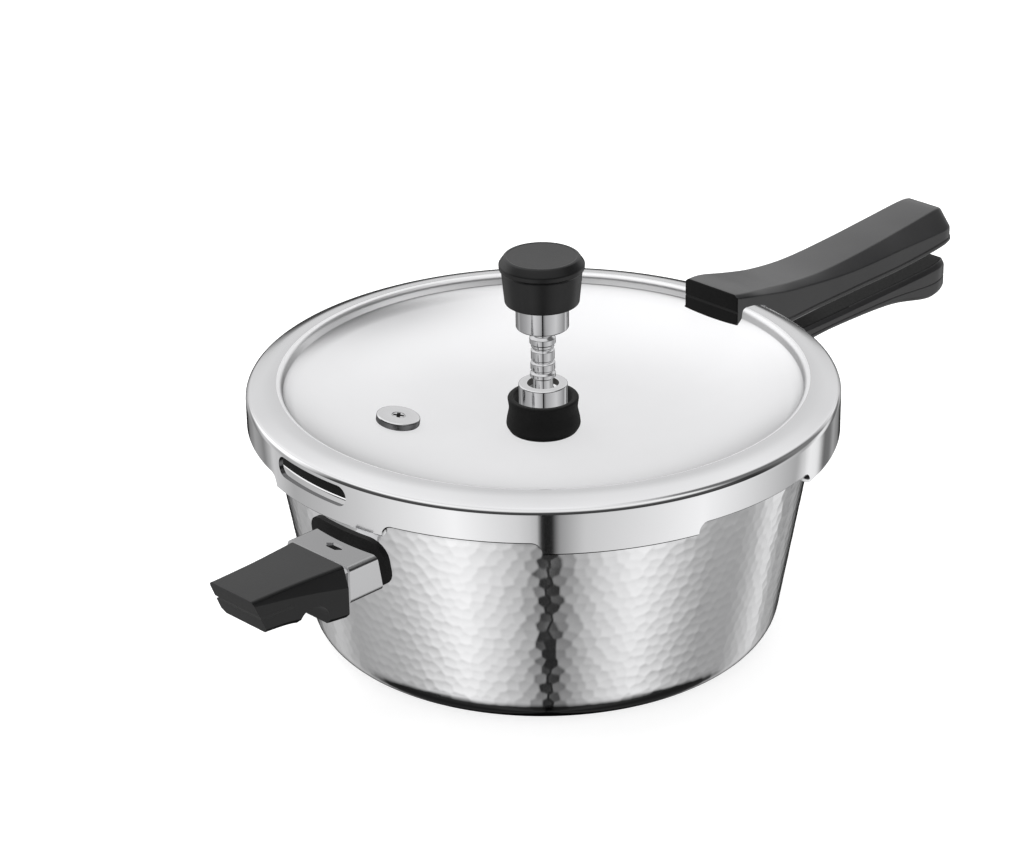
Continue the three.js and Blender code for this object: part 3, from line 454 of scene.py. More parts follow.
def skirt_edge(turn):
    """Height of the skirt's lower edge and the radius of the lip inside it."""
    corner_low, corner_high = CUTOUT_HEIGHT - CUTOUT_CORNER, CUTOUT_CORNER
    past = lug_offset(turn, LID_RADIUS)
    high = SKIRT_BOTTOM + CUTOUT_HEIGHT
    if past <= -corner_low:
        height = SKIRT_BOTTOM
    elif past <= 0:
        height = SKIRT_BOTTOM + corner_low - math.sqrt(max(0.0, corner_low**2 - (past + corner_low) ** 2))
    elif past < corner_high:
        height = high - corner_high + math.sqrt(max(0.0, corner_high**2 - (corner_high - past) ** 2))
    else:
        height = high
    on_lug = min(1.0, max(0.0, 0.5 - past / 1.6))
    inner = LID_RADIUS - SHEET - on_lug * (LID_RADIUS - SHEET - LIP_RADIUS)
    return height, inner


def lid_outline(turn):
    """The lid's closed (radius, height) outline at a turn."""
    edge, inner = skirt_edge(turn)
    radii = np.linspace(SEAT_RADIUS, PANEL_EDGE, 26)
    top = [(r, dish(r)) for r in radii]
    rim = [
        (CREST_INNER - 0.4, PANEL_EDGE_Z + 1.6, 1.2),
        (CREST_INNER, CREST_Z, 3.4),
        (CREST_INNER + RIM_WIDTH * 0.42, CREST_Z - 0.15, 18.0),
        (LID_RADIUS, SHOULDER_Z, 3.2),
        (LID_RADIUS, edge + 0.7, 0.0),
    ]
    upper = rounded([(PANEL_EDGE, PANEL_EDGE_Z), *rim], steps=6)
    below = [(LID_RADIUS - 0.7, edge), (inner + 0.4, edge), (inner, edge + 0.4)]
    lip = [
        (inner, edge + SHEET - 0.3), (inner + 0.3, edge + SHEET), (LID_RADIUS - SHEET, edge + SHEET + 0.05),
    ]
    channel = [
        (LID_RADIUS - SHEET, SHOULDER_Z - SHOULDER_RADIUS),
        (LID_RADIUS - SHEET - 1, SHOULDER_Z - SHEET + 0.2),
        (CREST_INNER + CREST_RADIUS, CREST_Z - SHEET),
        (CREST_INNER + SHEET, CREST_Z - CREST_RADIUS),
        (CREST_INNER + SHEET, PANEL_EDGE_Z),
    ]
    under = [(r, dish(r) - SHEET) for r in radii[::-1]]
    hole = [(6.0, PANEL_Z - SHEET), (6.0, PANEL_Z)]
    return [*top[:-1], *upper, *below, *lip, *channel, *under, *hole]


def slot_cutter():
    """A lying stadium through the skirt, at the gasket's window."""
    radius = 4.3
    half = 21.0 - radius
    middle = SHOULDER_Z - 2.4 - radius
    outline = []
    for centre, start in ((half, -90), (-half, 90)):
        for k in range(13):
            angle = math.radians(start + 15 * k)
            outline.append((centre + radius * math.cos(angle), middle + radius * math.sin(angle)))
    outwards = Vector((math.cos(SLOT_TURN), math.sin(SLOT_TURN), 0))
    sideways = Vector((-math.sin(SLOT_TURN), math.cos(SLOT_TURN), 0))
    sections = []
    for reach in (LID_RADIUS - 12, LID_RADIUS + 5):
        sections.append([outwards * reach + sideways * s + Vector((0, 0, z)) for s, z in outline])
    return lofted("slot_cutter", sections)


def on_slot_edge(face):
    """Whether a face of the lid is the sheet's cut edge in the gasket's window."""
    radius = face.center.xy.length
    outwards = face.normal.xy.dot(face.center.xy) / radius
    ahead = face.center.xy.dot(Vector((math.cos(SLOT_TURN), math.sin(SLOT_TURN)))) / radius
    height = face.center.z / MM
    return ahead > 0.97 and abs(outwards) < 0.6 and SKIRT_BOTTOM + 4 < height < SHOULDER_Z - 2


def build_lid():
    piece = turned("lid_shell", lid_outline, lug_turns(LID_RADIUS, 288), 35)
    cut(piece, slot_cutter(), angle=35)
    dress(piece, "lid", "polished_steel", ["lid"])
    panel_end = (CREST_INNER + 2.6) * MM
    # Upward faces of the rim get darker steel: painted shade.
    zone(piece, RIM_STEEL_AND_PAINTED_SHADE, lambda face: face.normal.z > 0.75)
    # The slot's cut edge is painted dark: painted shade in the gasket's window.
    zone(piece, EDGE_PAINTED_SHADE, on_slot_edge)
    zone(piece, PANEL, lambda face: face.center.xy.length < panel_end)


def build_gasket():
    low, inner, outer = POT_TOP + 0.2, CREST_INNER + SHEET + 0.4, LID_RADIUS - SHEET - 0.4
    roof = SHOULDER_Z - SHEET - 0.6
    outline = rounded([
        (inner + 1.5, low, 0.5), (outer, low, 1.0), (outer, roof - 1.4, 1.4), (inner + 2, roof, 1.5),
        (inner, roof - 2, 0.8), (inner, low + 6.2, 0.6), (inner + 2.2, low + 4.6, 0.6), (inner, low + 3, 0.6),
    ], closed=True)
    dress(outward(revolved("gasket_ring", outline, 192)), "lid", "black_rubber", ["lid_gasket"])


# Hammered pot

CHANCE = ((12.9898, 78.233, 43758.5453), (39.3461, 11.135, 24634.6345), (73.156, 52.235, 9151.71))
MARKS_ROUND = 132
MARK_PITCH = 4.3
MARK_BOWL = 84.0
MARK_STRAY = 0.56
MARK_DEPTH = 0.09
MARK_VARIES = 0.02


def hammer_depth(turn, run, radius):
    """Depth in mm of the hammer marks at a turn and a run along the wall, both as arrays."""
    rows = run / MARK_PITCH
    columns = turn * MARKS_ROUND / (2 * math.pi)
    spacing = 2 * math.pi * radius / MARKS_ROUND
    deepest = np.zeros(np.broadcast(turn, run).shape)
    base_row = np.floor(rows)
    for dr in (-2, -1, 0, 1, 2, 3):
        row = base_row + dr
        shift = 0.5 * np.mod(row, 2)
        base_column = np.floor(columns - shift)
        for dc in (-1, 0, 1, 2):
            column = base_column + dc
            wrapped = np.mod(column, MARKS_ROUND)
            chance = [np.mod(np.sin(row * a + wrapped * b) * c, 1.0) - 0.5 for a, b, c in CHANCE]
            side = (column + shift + MARK_STRAY * chance[0] - columns) * spacing
            rise = (row + MARK_STRAY * chance[1] - rows) * MARK_PITCH
            mark = MARK_DEPTH + MARK_VARIES * chance[2] - (side**2 + rise**2) / (2 * MARK_BOWL)
            deepest = np.maximum(deepest, mark)
    return deepest


def build_pot():
    columns = 1200
    flare = math.atan(POT_FLARE)
    corner = rounded([(0, 0), (POT_BASE, 0, POT_CORNER), (POT_BASE + POT_FLARE * 40, 40)], steps=12)[1:-1]
    wall_low = corner[-1][1]
    wall_top = FLANGE_LOW - 2
    wall = [(POT_BASE + POT_FLARE * z, z) for z in np.linspace(wall_low, wall_top, 128)[1:]]
    outer = [(20.0, 0.0), (60.0, 0.0), *corner, *wall]
    run = np.concatenate([[0], np.cumsum([math.dist(a, b) for a, b in zip(outer, outer[1:])])])
    turns = np.arange(columns) * 2 * math.pi / columns
    radii = np.array([r for r, _ in outer])[:, None]
    heights = np.array([z for _, z in outer])[:, None]
    fade = np.clip((heights - 3) / 6, 0, 1) * np.clip((wall_top - heights) / 2, 0, 1)
    depth = fade * hammer_depth(turns[None, :], run[:, None], np.maximum(radii, 1))
    lean = np.clip((heights - 1) / (wall_low - 1), 0, 1) * flare
    r_all = radii - depth * np.cos(lean)
    z_all = heights + depth * np.sin(lean)
    lug = np.clip(0.5 - np.array([lug_offset(t, LUG_RADIUS) for t in turns]) / 2.0, 0, 1)
    flange = FLANGE_RADIUS + lug * (LUG_RADIUS - FLANGE_RADIUS)
    inner_mouth = MOUTH - POT_WALL * math.hypot(1, POT_FLARE)
    inner_corner = rounded(
        [(0, POT_WALL), (POT_BASE - POT_WALL, POT_WALL, POT_CORNER - POT_WALL),
         (POT_BASE - POT_WALL + POT_FLARE * 40, 40)], steps=8)[1:-1]
    rim_rows = [
        (np.full(columns, FLANGE_RADIUS - 1.0), FLANGE_LOW),
        (flange - 0.6, FLANGE_LOW), (flange, FLANGE_LOW + 0.6), (flange, POT_TOP - 0.8),
        (flange - 0.25, POT_TOP - 0.25), (flange - 0.8, POT_TOP),
        (np.full(columns, inner_mouth + 1.0), POT_TOP), (np.full(columns, inner_mouth), POT_TOP - 1.0),
    ]
    inside = [(inner_mouth - POT_FLARE * d, POT_TOP - 1.0 - d) for d in (20, 40, 60)]
    inside += [tuple(p) for p in inner_corner[::-1]] + [(40.0, POT_WALL)]
    rows = [(r_all[i], z_all[i]) for i in range(len(outer))]
    rows += [(r, np.full(columns, z)) for r, z in rim_rows]
    rows += [(np.full(columns, r), np.full(columns, z)) for r, z in inside]
    c, s = np.cos(turns), np.sin(turns)
    points = np.concatenate([np.stack([r * c, r * s, z], 1) for r, z in rows]).tolist()
    faces = grid_faces(len(rows), columns)
    first, last = len(points), len(points) + 1
    points += [(0, 0, 0), (0, 0, POT_WALL)]
    top = (len(rows) - 1) * columns
    for i in range(columns):
        n = (i + 1) % columns
        faces += [(first, n, i), (last, top + i, top + n)]
    piece = mesh_object("hammered_pot", points, faces, 30)
    dress(outward(piece), "pot", "polished_steel", ["pot_body"], HAMMERED)


# Vent and weight

def build_vent():
    cup_low = PANEL_Z + 0.2
    cup_top = cup_low + 14.6
    collar_low = cup_low + 2.8
    collar_top = cup_low + 20.4
    cup = rounded([
        (5.4, cup_low), (13.8, cup_low, 0.8), (15.2, cup_low + 2.4, 2.4), (14.9, cup_low + 5, 3.0),
        (13.9, cup_low + 9.6, 8.0), (14.5, cup_top - 0.8, 0.6), (14.1, cup_top, 0.7), (12.2, cup_top, 0.7),
        (11.8, cup_top - 1, 0.4), (11.8, cup_low + 2.6, 0.8), (5.4, cup_low + 2.6),
    ], closed=True)
    dress(outward(revolved("vent_cup_moulding", cup, 96)), "lid", "black_plastic", ["vent_cup"], RUBBER_AND_PAINTED_SHADE)
    collar = rounded([
        (5.4, collar_low), (10.0, collar_low, 0.3), (10.0, collar_top, 0.6), (6.4, collar_top, 0.4),
        (6.2, collar_top - 2.6, 0.5), (5.4, collar_top - 3.4),
    ], closed=True)
    ring = outward(revolved("vent_collar_turned", collar, 96))
    dress(ring, "lid", "polished_steel", ["vent_collar"], TURNED)
    # The collar's bore is painted dark: painted shade.
    zone(ring, FUSIBLE_METAL_AND_PAINTED_SHADE, lambda face: face.normal.xy.dot(face.center.xy) < 0)
    # The collar's top faces take the darker rim steel: painted shade.
    zone(ring, RIM_STEEL_AND_PAINTED_SHADE, lambda face: face.normal.z > 0.7)
    low = collar_top
    weight_low = low + 24.4
    tube_top = weight_low + 14
    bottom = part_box("vent_tube")[0].z / MM
    tube = rounded([
        (1.6, bottom), (5.2, bottom, 0.6), (5.2, low - 3.5, 0.3), (4.1, low - 2.9, 0.3), (4.1, low + 2.4, 0.3),
        (5.2, low + 3.0, 0.3), (5.2, low + 4.6, 0.3), (4.2, low + 5.2, 0.2), (4.2, low + 5.9, 0.2),
        (5.0, low + 6.3, 0.3), (5.0, low + 9.2, 0.3), (4.1, low + 9.6, 0.2), (4.1, low + 10.3, 0.2),
        (4.8, low + 10.7, 0.3), (4.8, low + 14.6, 0.3), (4.0, low + 15.0, 0.2), (4.0, low + 15.7, 0.2),
        (4.7, low + 16.1, 0.3), (4.7, low + 17.2, 0.2), (5.3, low + 17.7, 0.3), (5.3, low + 20.0, 0.4),
        (4.0, low + 21.0, 0.5), (4.0, tube_top - 3.5, 0.4), (2.5, tube_top, 0.3), (1.6, tube_top),
    ], closed=True)
    dress(outward(revolved("vent_tube_turned", tube, 72)), "lid", "polished_steel", ["vent_tube"], TURNED)
    cap_low = weight_low + 10.9
    cap_top = cap_low + 20.0
    weight_top = cap_top - 3.2
    weight = rounded([
        (6.6, weight_low, 0.3), (10.7, weight_low, 0.7), (10.7, weight_top, 0.9), (2.4, weight_top, 0.2),
        (2.4, weight_top - 4, 0.2), (5.8, weight_top - 4, 0.4), (5.8, weight_low + 0.8, 0.3),
    ], closed=True)
    dress(outward(revolved("weight_turned", weight, 96)), "regulator", "polished_steel",
          ["regulator_weight"], TURNED)
    cap = rounded([
        (0, cap_top - 3), (10.9, cap_top - 3, 0.3), (10.9, cap_low, 0.4), (15.0, cap_low, 0.8),
        (15.6, cap_low + 6, 20.0), (16.3, cap_top - 6.6, 6.0), (16.5, cap_top - 6.0, 0.8),
        (17.2, cap_top - 5.3, 1.0), (17.3, cap_top - 3.4, 1.4), (15.2, cap_top - 0.4, 1.4),
        (14.4, cap_top - 0.1, 0.8), (13.8, cap_top - 0.35, 0.8), (0, cap_top - 0.3),
    ], steps=6)
    dress(outward(revolved("weight_cap_moulding", cap, 120, closed=False)), "regulator", "black_plastic",
          ["regulator_cap"])


# Safety valve

def at_valve(piece):
    """Move a piece from the axis to the valve's place, square to the panel there."""
    place, turn = 59.5, math.radians(133)
    slope = math.atan(dish(place + 0.5) - dish(place - 0.5))
    seat = Matrix.Translation(Vector((place * MM, 0, dish(place) * MM)))
    piece.data.transform(Matrix.Rotation(turn, 4, "Z") @ seat @ Matrix.Rotation(-slope, 4, "Y"))
    return piece


def build_valve():
    base, head = 0.8, 9.0
    outline = rounded([
        (2.8, -11.0), (5.0, -11.0, 0.5), (5.0, base, 0.1), (head, base, 0.2), (head, base + 3, 0.8),
        (2.8, base + 3, 0.1),
    ], closed=True)
    body = at_valve(outward(revolved("valve_head_turned", outline, 96)))
    dress(body, "lid", "polished_steel", ["safety_valve_body"], RIM_STEEL_AND_PAINTED_SHADE)
    # The valve head's sides and stem are painted dark: painted shade.
    zone(body, EDGE_PAINTED_SHADE, lambda face: face.normal.z < 0.55)
    top, reach, half = base + 2.9, 2.2, 0.75
    plug = outward(revolved("valve_plug_cast", rounded([
        (0, -10.0), (2.6, -10.0, 0.2), (2.6, top, 0.1), (0, top)]), 48, closed=False))
    cut(plug, block("cut_a", (-reach, -half, top - 2), (reach, half, top + 1)),
        block("cut_b", (-half, -reach, top - 2), (half, reach, top + 1)))
    crown = {face.index for face in plug.data.polygons if face.center.z > (top - 0.05) * MM}
    dress(at_valve(plug), "lid", "fusible_metal", ["safety_valve_plug"])
    zone(plug, RIM_STEEL_AND_PAINTED_SHADE, lambda face: face.index in crown)


# Handles

def bar_section(place, form, flip=1, groove=None, ledge=0.0):
    """The outline of a chamfered bar across X at one place, with soft edges."""
    w, t = along(form["half_width"], place), along(form["top_half_width"], place)
    high, side, low = (along(form[key], place) for key in ("top", "shoulder", "bottom"))
    edge = form["lower_edge"]
    right = [(t, high, 1.6), (w - ledge, side, 1.2)]
    if groove is not None:
        line = low + (side - low) * groove
        right += [(w - ledge, line + 0.35, 0.1), (w - ledge - 0.5, line, 0.1), (w - ledge, line - 0.35, 0.1)]
    if ledge:
        right += [(w - ledge, low + edge + 1.6, 0.3), (w, low + edge + 1.2, 0.3)]
    right += [(w, low + edge, 0.9), (w - edge, low, 0.9)]
    outline = right + [(-y, z, r) for y, z, r in right[::-1]]
    return [(flip * place, y, z) for y, z in rounded(outline, closed=True, steps=4)]


def inset(section, amount):
    """A section drawn in towards its middle by an amount."""
    points = np.array(section, float)
    low, high = points.min(0), points.max(0)
    middle, half = (low + high) / 2, np.maximum((high - low) / 2, 1e-6)
    points[:, 1:] = middle[1:] + (points[:, 1:] - middle[1:]) * (1 - amount / half[1:])
    return [tuple(p) for p in points]


def soft_bar(name, form, start, end, count, start_edge, end_edge, flip=1, **details):
    """A chamfered bar with rounded end edges."""
    sections = []
    for place, inwards, edge in ((start, 1, start_edge), (end, -1, end_edge)):
        ends = []
        for k in range(5):
            angle = math.radians(90 * k / 4)
            at = place + inwards * edge * (1 - math.sin(angle))
            ends.append(inset(bar_section(at, form, flip, **details), edge * (1 - math.cos(angle))))
        sections.append(ends)
    middle = [
        bar_section(place, form, flip, **details)
        for place in np.linspace(start + start_edge, end - end_edge, count)[1:-1]
    ]
    return lofted(name, [*sections[0][::-1], *middle, *sections[1]], 38)


def placed(form, start, end, base):
    """A form whose shares of the length are turned into places and whose heights count from a base."""
    def row(values, rise):
        return [[start + (end - start) * share, size + rise] for share, size in values]
    return {
        "half_width": row(form["half_width"], 0), "top_half_width": row(form["top_half_width"], 0),
        "top": row(form["top"], base), "shoulder": row(form["shoulder"], base),
        "bottom": row(form["bottom"], base), "lower_edge": form["lower_edge"],
    }


def arm_room(name, start, end, low, width):
    """The room of a bracket's flat arm inside a handle."""
    half = width / 2 + PLAY
    return block(name, (min(start, end) - PLAY, -half, low - PLAY),
                 (max(start, end) + PLAY, half, low + ARM_THICKNESS + PLAY))


def screw_room(name, place, low, high):
    """The counterbore of a screw under a handle."""
    outline = [(0, low), (4.4, low), (4.4, high), (0, high)]
    cutter = revolved(name, outline, 32, closed=False)
    cutter.data.transform(Matrix.Translation((place * MM, 0, 0)))
    return cutter


def build_pot_handle():
    low, high = (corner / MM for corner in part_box("pot_handle"))
    form = placed({
        "half_width": [[0, 13.2], [0.27, 14.5], [0.7, 16.5], [0.9, 17], [0.97, 15.6], [1, 13]],
        "top_half_width": [[0, 12.2], [0.27, 13], [0.7, 15], [0.9, 15.5], [0.97, 14], [1, 11.6]],
        "top": [[0, 4], [0.27, 4.6], [0.58, 6.6], [0.86, 8.4], [0.97, 9.2], [1, 8.8]],
        "shoulder": [[0, 2.6], [0.27, 3], [0.58, 4.6], [0.86, 6.2], [0.97, 6.8], [1, 6.8]],
        "bottom": [[0, -9.4], [0.11, -6], [0.27, -3], [0.43, -1.6], [0.69, -2], [0.9, -6.6], [1, -4.2]],
        "lower_edge": 2.0,
    }, low.x, high.x, POT_ARM_Z)
    bar = soft_bar("pot_handle_moulding", form, low.x, high.x, 60, 0.6, 2.2, groove=0.55)
    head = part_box("pot_handle_screw")[0].z / MM
    cut(bar, arm_room("arm_room", low.x - 1, ARM_END_X, POT_ARM_Z, ARM_WIDTH),
        screw_room("screw_room", SCREW_X, head - 12, head + 2.6), angle=38)
    dress(bar, "pot", "black_plastic", ["pot_handle"], HANDLE)
    # The top under the lid handle is painted dark in black rubber: painted shade.
    zone(bar, RUBBER_AND_PAINTED_SHADE, lambda face: face.normal.z > 0.85)


def rim_room():
    """The room of the lid under a handle that straddles its rim."""
    low = SKIRT_BOTTOM - 20
    radii = np.linspace(80, PANEL_EDGE, 12)
    outline = [(80.0, low), *[(r - PLAY, dish(r) + PLAY) for r in radii]]
    rim = rounded([
        (PANEL_EDGE - PLAY, PANEL_EDGE_Z + PLAY),
        (CREST_INNER - 0.4 - PLAY, PANEL_EDGE_Z + 1.6 + PLAY, 1.0),
        (CREST_INNER - PLAY, CREST_Z + PLAY, 3.6),
        (CREST_INNER + RIM_WIDTH * 0.42, CREST_Z - 0.15 + PLAY, 18.0),
        (LID_RADIUS + PLAY, SHOULDER_Z + PLAY, 3.4),
        (LID_RADIUS + PLAY, low),
    ], steps=6)
    return revolved("rim_room", [*outline, *[tuple(p) for p in rim[1:]]], 240)


def build_lid_handle():
    low, high = (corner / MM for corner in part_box("lid_handle"))
    form = placed({
        "half_width": [[0, 15.2], [0.06, 16.6], [0.17, 15.6], [0.31, 15], [0.51, 16], [0.75, 17],
                       [0.945, 17], [1, 14]],
        "top_half_width": [[0, 13], [0.06, 14], [0.17, 12], [0.31, 11], [0.61, 10.4], [0.945, 9.4], [1, 7.6]],
        "top": [[0, 6.8], [0.07, 5.6], [0.15, 3.4], [0.265, 0.6], [0.41, -0.8], [0.6, 0.4], [0.8, 2.8],
                [0.96, 4.8], [1, 3.2]],
        "shoulder": [[0, 5.6], [0.07, 3.9], [0.15, 1.2], [0.27, -2.0], [0.51, -4.4], [0.75, -3.4],
                     [0.96, -3.2], [1, -3.2]],
        "bottom": [[0, -9], [0.07, -9.6], [0.13, -15.2], [0.245, -16.8], [0.37, -16], [0.56, -14.6],
                   [0.75, -13.4], [1, -10.2]],
        "lower_edge": 1.5,
    }, low.x, high.x, CREST_Z)
    bar = soft_bar("lid_handle_moulding", form, low.x, high.x, 80, 0.6, 2.4, ledge=0.5)
    split = [(low.x + 1.0, CREST_Z - 1.0), (low.x - 2, CREST_Z + 0.6), (low.x - 2, CREST_Z - 2.6)]
    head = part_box("lid_handle_screw")[0].z / MM
    half = 11 + PLAY
    tab_end = (LID_RADIUS + 0.2 + ARM_THICKNESS + PLAY, half, LID_ARM_Z + ARM_THICKNESS + PLAY)
    cut(bar, rim_room(), block("tab_room", (CREST_INNER, -half, 60), tab_end),
        arm_room("arm_room", LID_RADIUS, ARM_END_X, LID_ARM_Z, ARM_WIDTH),
        across("split_room", split),
        screw_room("screw_room", SCREW_X, head - 12, head + 2.6), angle=38)
    dress(bar, "lid", "black_plastic", ["lid_handle"], HANDLE)
    front = (low.x + 3) * MM
    # The inner end is painted dark in black rubber: painted shade.
    zone(bar, RUBBER_AND_PAINTED_SHADE, lambda face: face.normal.x < -0.3 and face.center.x < front)


# Helper handle

WALL_COLUMNS = 360


def wall_plate(name, start, end, low, high):
    """A ring along the flared wall between two layers off it."""
    def radius(z, layer):
        return POT_BASE + POT_FLARE * z + layer
    corners = ((low, start), (low, end), (high, end), (high, start))
    return revolved(name, [(radius(z, layer), z) for z, layer in corners], WALL_COLUMNS)


def wall_cone(name, layer):
    """The room inside a layer off the flared wall."""
    outline = [(0, 0), (POT_BASE + layer, 0), (MOUTH + layer, POT_TOP), (0, POT_TOP)]
    return revolved(name, outline, WALL_COLUMNS, closed=False)


def sleeve(name, start, end, width, top, bottom, corner):
    """A rounded block along -X."""
    w = width / 2
    corners = ((-w, top), (-w, bottom), (w, bottom), (w, top))
    outline = rounded([(y, z, corner) for y, z in corners], closed=True, steps=6)
    return lofted(name, [[(-place, y, z) for y, z in outline] for place in (start, end)])


def softened(piece, width, angle=30):
    """Round the sharp edges of a piece a little, with its flat faces shaded flat."""
    edge = piece.modifiers.new("edge", "BEVEL")
    edge.width = width * MM
    edge.segments = 2
    edge.limit_method = "ANGLE"
    edge.angle_limit = math.radians(angle)
    flat = piece.modifiers.new("flat", "WEIGHTED_NORMAL")
    flat.weight = 100
    piece.data.shade_smooth()
    return applied(piece)


def helper_arch():
    """The room under the helper's grip, a round arch across its width."""
    x, z, radius = -(HELPER_START + 16), HELPER_TOP - 18.5, 7.0
    turns = np.linspace(0, math.pi, 25)
    outline = [(x + radius * math.cos(a), z + radius * math.sin(a)) for a in turns]
    return across("arch_room", [*outline, (x - radius, 30.0), (x + radius, 30.0)])


def helper_face():
    """The room off the helper's leaning end."""
    deep, far = HELPER_TOP - 40, -HELPER_END - 30
    return across("end_room", [
        (-HELPER_END - 0.001, HELPER_TOP), (far, HELPER_TOP), (far, deep),
        (-HELPER_END + 40 * HELPER_FACE_LEAN, deep),
    ])


def helper_groove(form):
    """A V groove along the sides and the end of the helper's grip."""
    height, depth, reach, rise = HELPER_TOP - HELPER_ARM_DROP, 1.3, 4, 2.6
    start, end = -(HELPER_START + 25), -(HELPER_END - HELPER_ARM_DROP * HELPER_FACE_LEAN)
    sections = []
    for x, side, at_end in ((start, 1, 0), (end, 1, 1), (end, -1, 1), (start, -1, 0)):
        half = along(form["half_width"], -x)
        inner = (x + depth * at_end, side * (half - depth), height)
        outer = (x - reach * at_end, side * (half + reach))
        sections.append([inner, (*outer, height - rise), (*outer, height + rise)])
    return lofted("groove_room", sections)


def helper_arm():
    """The room of the helper's bracket."""
    end = -(HELPER_START + HELPER_ARM_REACH)
    return arm_room("arm_room", 0, end, HELPER_ARM_Z, HELPER_ARM_WIDTH)


def build_helper():
    form = placed({
        "half_width": [[0, 17.6], [0.5, 14.6], [1, 12.8]],
        "top_half_width": [[0, 15], [0.5, 13], [1, 12.2]],
        "top": [[0, 0], [1, 0]],
        "shoulder": [[0, -8.6], [0.5, -5], [1, -2]],
        "bottom": [[0, -22], [0.3, -21], [0.55, -16.4], [1, -15.4]],
        "lower_edge": 2.0,
    }, HELPER_START, HELPER_END, HELPER_TOP)
    bar = soft_bar("helper_moulding", form, HELPER_START, HELPER_END, 40, 0.5, 0.4, flip=-1)
    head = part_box("helper_screw")[0].z / MM
    screw = screw_room("screw_room", -(HELPER_START + 31), head - 12, head + 2.6)
    cut(bar, helper_arch(), helper_face(), helper_groove(form), helper_arm(), screw, angle=38)
    dress(softened(bar, 0.5), "pot", "black_plastic", ["helper_handle"])


def build_heat_guard():
    low, high = HELPER_TOP - 15.5, HELPER_TOP + 6.0
    spacer = wall_plate("heat_guard", SPACER_START, SPACER_END, low - 1, high + 1)
    cut(spacer, sleeve("outline", 60, 140, 42, high, low, 8.0), keep="INTERSECT")
    cut(spacer, helper_arm())
    dress(softened(spacer, 0.4, 40), "pot", "black_plastic", ["helper_spacer"], RUBBER_AND_PAINTED_SHADE)


def build_ferrule():
    bottom, sheet, gap = HELPER_TOP - 16, 1.2, 0.2
    ferrule = sleeve("ferrule_sleeve", 90, HELPER_START - gap, 36, HELPER_TOP, bottom, 2.4)
    middle = -(POT_BASE + POT_FLARE * HELPER_TOP + SPACER_END + gap + 4.5)
    window = [(-2, -2.5), (0, -4.5), (2, -2.5), (2, 2.5), (0, 4.5), (-2, 2.5)]
    layers = [[(middle + x, y, z) for x, y in window] for z in (HELPER_TOP - 3, HELPER_TOP + 3)]
    hollow = sleeve("hollow", 80, HELPER_START + 2, 36 - 2 * sheet, HELPER_TOP - sheet, bottom + sheet, 1.4)
    cut(ferrule, hollow, wall_cone("wall_room", SPACER_END + gap), lofted("window_room", layers))
    dress(softened(ferrule, 0.3, 40), "pot", "polished_steel", ["helper_ferrule"], SLEEVE)
    # The top faces are painted darker: painted shade.
    zone(ferrule, SLEEVE_TOP_PAINTED_SHADE, lambda face: face.normal.z > 0.9)


build_pot()
build_lid()
build_gasket()
build_vent()
build_valve()
build_pot_handle()
build_lid_handle()
build_helper()
build_heat_guard()
build_ferrule()

slot_of = {part["node"]: part["material_slot"] for part in frame["record"]["subparts"]}
for name, node in frame["nodes"].items():
    node.data.materials.clear()
    node.data.materials.append(LOOK_OF_SLOT[slot_of[name]])


# Studio

def camera_axes():
    """Right, up and back of a level camera at the photo's azimuth and elevation."""
    turn, rise = math.radians(-45.0), math.radians(26.0)
    right = Vector((math.cos(turn), math.sin(turn), 0))
    back = Vector((math.sin(turn) * math.cos(rise), -math.cos(turn) * math.cos(rise), math.sin(rise)))
    return right, back.cross(right), back


def build_camera():
    right, up, back = camera_axes()
    distance, middle, sensor = 1.355, 0.0581, 36.0
    focal, width, aside, above = 3304.8, 1032.0, -27.56, 62.34
    roll = math.radians(0.68)
    place = Vector((0, 0, middle)) + distance * back
    ahead = (right * aside + up * above - back * focal).normalized()
    rolled = right * math.cos(roll) - up * math.sin(roll)
    sideways = (rolled - ahead * rolled.dot(ahead)).normalized()
    upward = (-ahead).cross(sideways)
    data = bpy.data.cameras.new("photo_camera")
    data.lens = focal / width * sensor
    data.sensor_width = sensor
    data.clip_end = 100.0
    camera = bpy.data.objects.new("photo_camera", data)
    bpy.context.scene.collection.objects.link(camera)
    turn = Matrix((sideways, upward, -ahead)).transposed().to_4x4()
    camera.matrix_world = Matrix.Translation(place) @ turn
    bpy.context.scene.camera = camera


def build_floor():
    """A pale floor that curves up into a round wall, in metres until the last step."""
    flat, cove, top, columns, drop = 4.8, 2.0, 9.0, 72, 0.05
    outline = [(flat / 8 * k, 0.0) for k in range(1, 9)]
    for k in range(1, 13):
        angle = math.radians(-90 + 7.5 * k)
        outline.append((flat + cove * math.cos(angle), cove + cove * math.sin(angle)))
    outline.append((flat + cove, top))
    rows = [(r / MM, z / MM) for r, z in outline]
    turns = np.arange(columns) * 2 * math.pi / columns
    points = [(r * math.cos(t), r * math.sin(t), z - drop) for r, z in rows for t in turns]
    faces = grid_faces(len(rows), columns)
    middle = len(points)
    points.append((0, 0, -drop))
    faces += [(middle, c, (c + 1) % columns) for c in range(columns)]
    floor = mesh_object("studio_floor", points, faces, 60)
    material, nodes, links, shader = tree_of("pale_floor")
    cloud = noise_node(nodes, links, 3.0)
    colour = ramp(nodes, links, cloud.outputs["Fac"], (0.3, (0.58, 0.58, 0.58)), (0.7, (0.62, 0.62, 0.62)))
    links.new(colour, shader.inputs["Base Color"])
    shader.inputs["Roughness"].default_value = 0.9
    shader.inputs["Specular IOR Level"].default_value = 0.0
    shader.inputs["Emission Color"].default_value = (1.0, 1.0, 1.0, 1.0)
    shader.inputs["Emission Strength"].default_value = 0.72
    floor.data.materials.append(material)
    floor.visible_glossy = False
    floor.visible_diffuse = False
    floor.visible_shadow = False


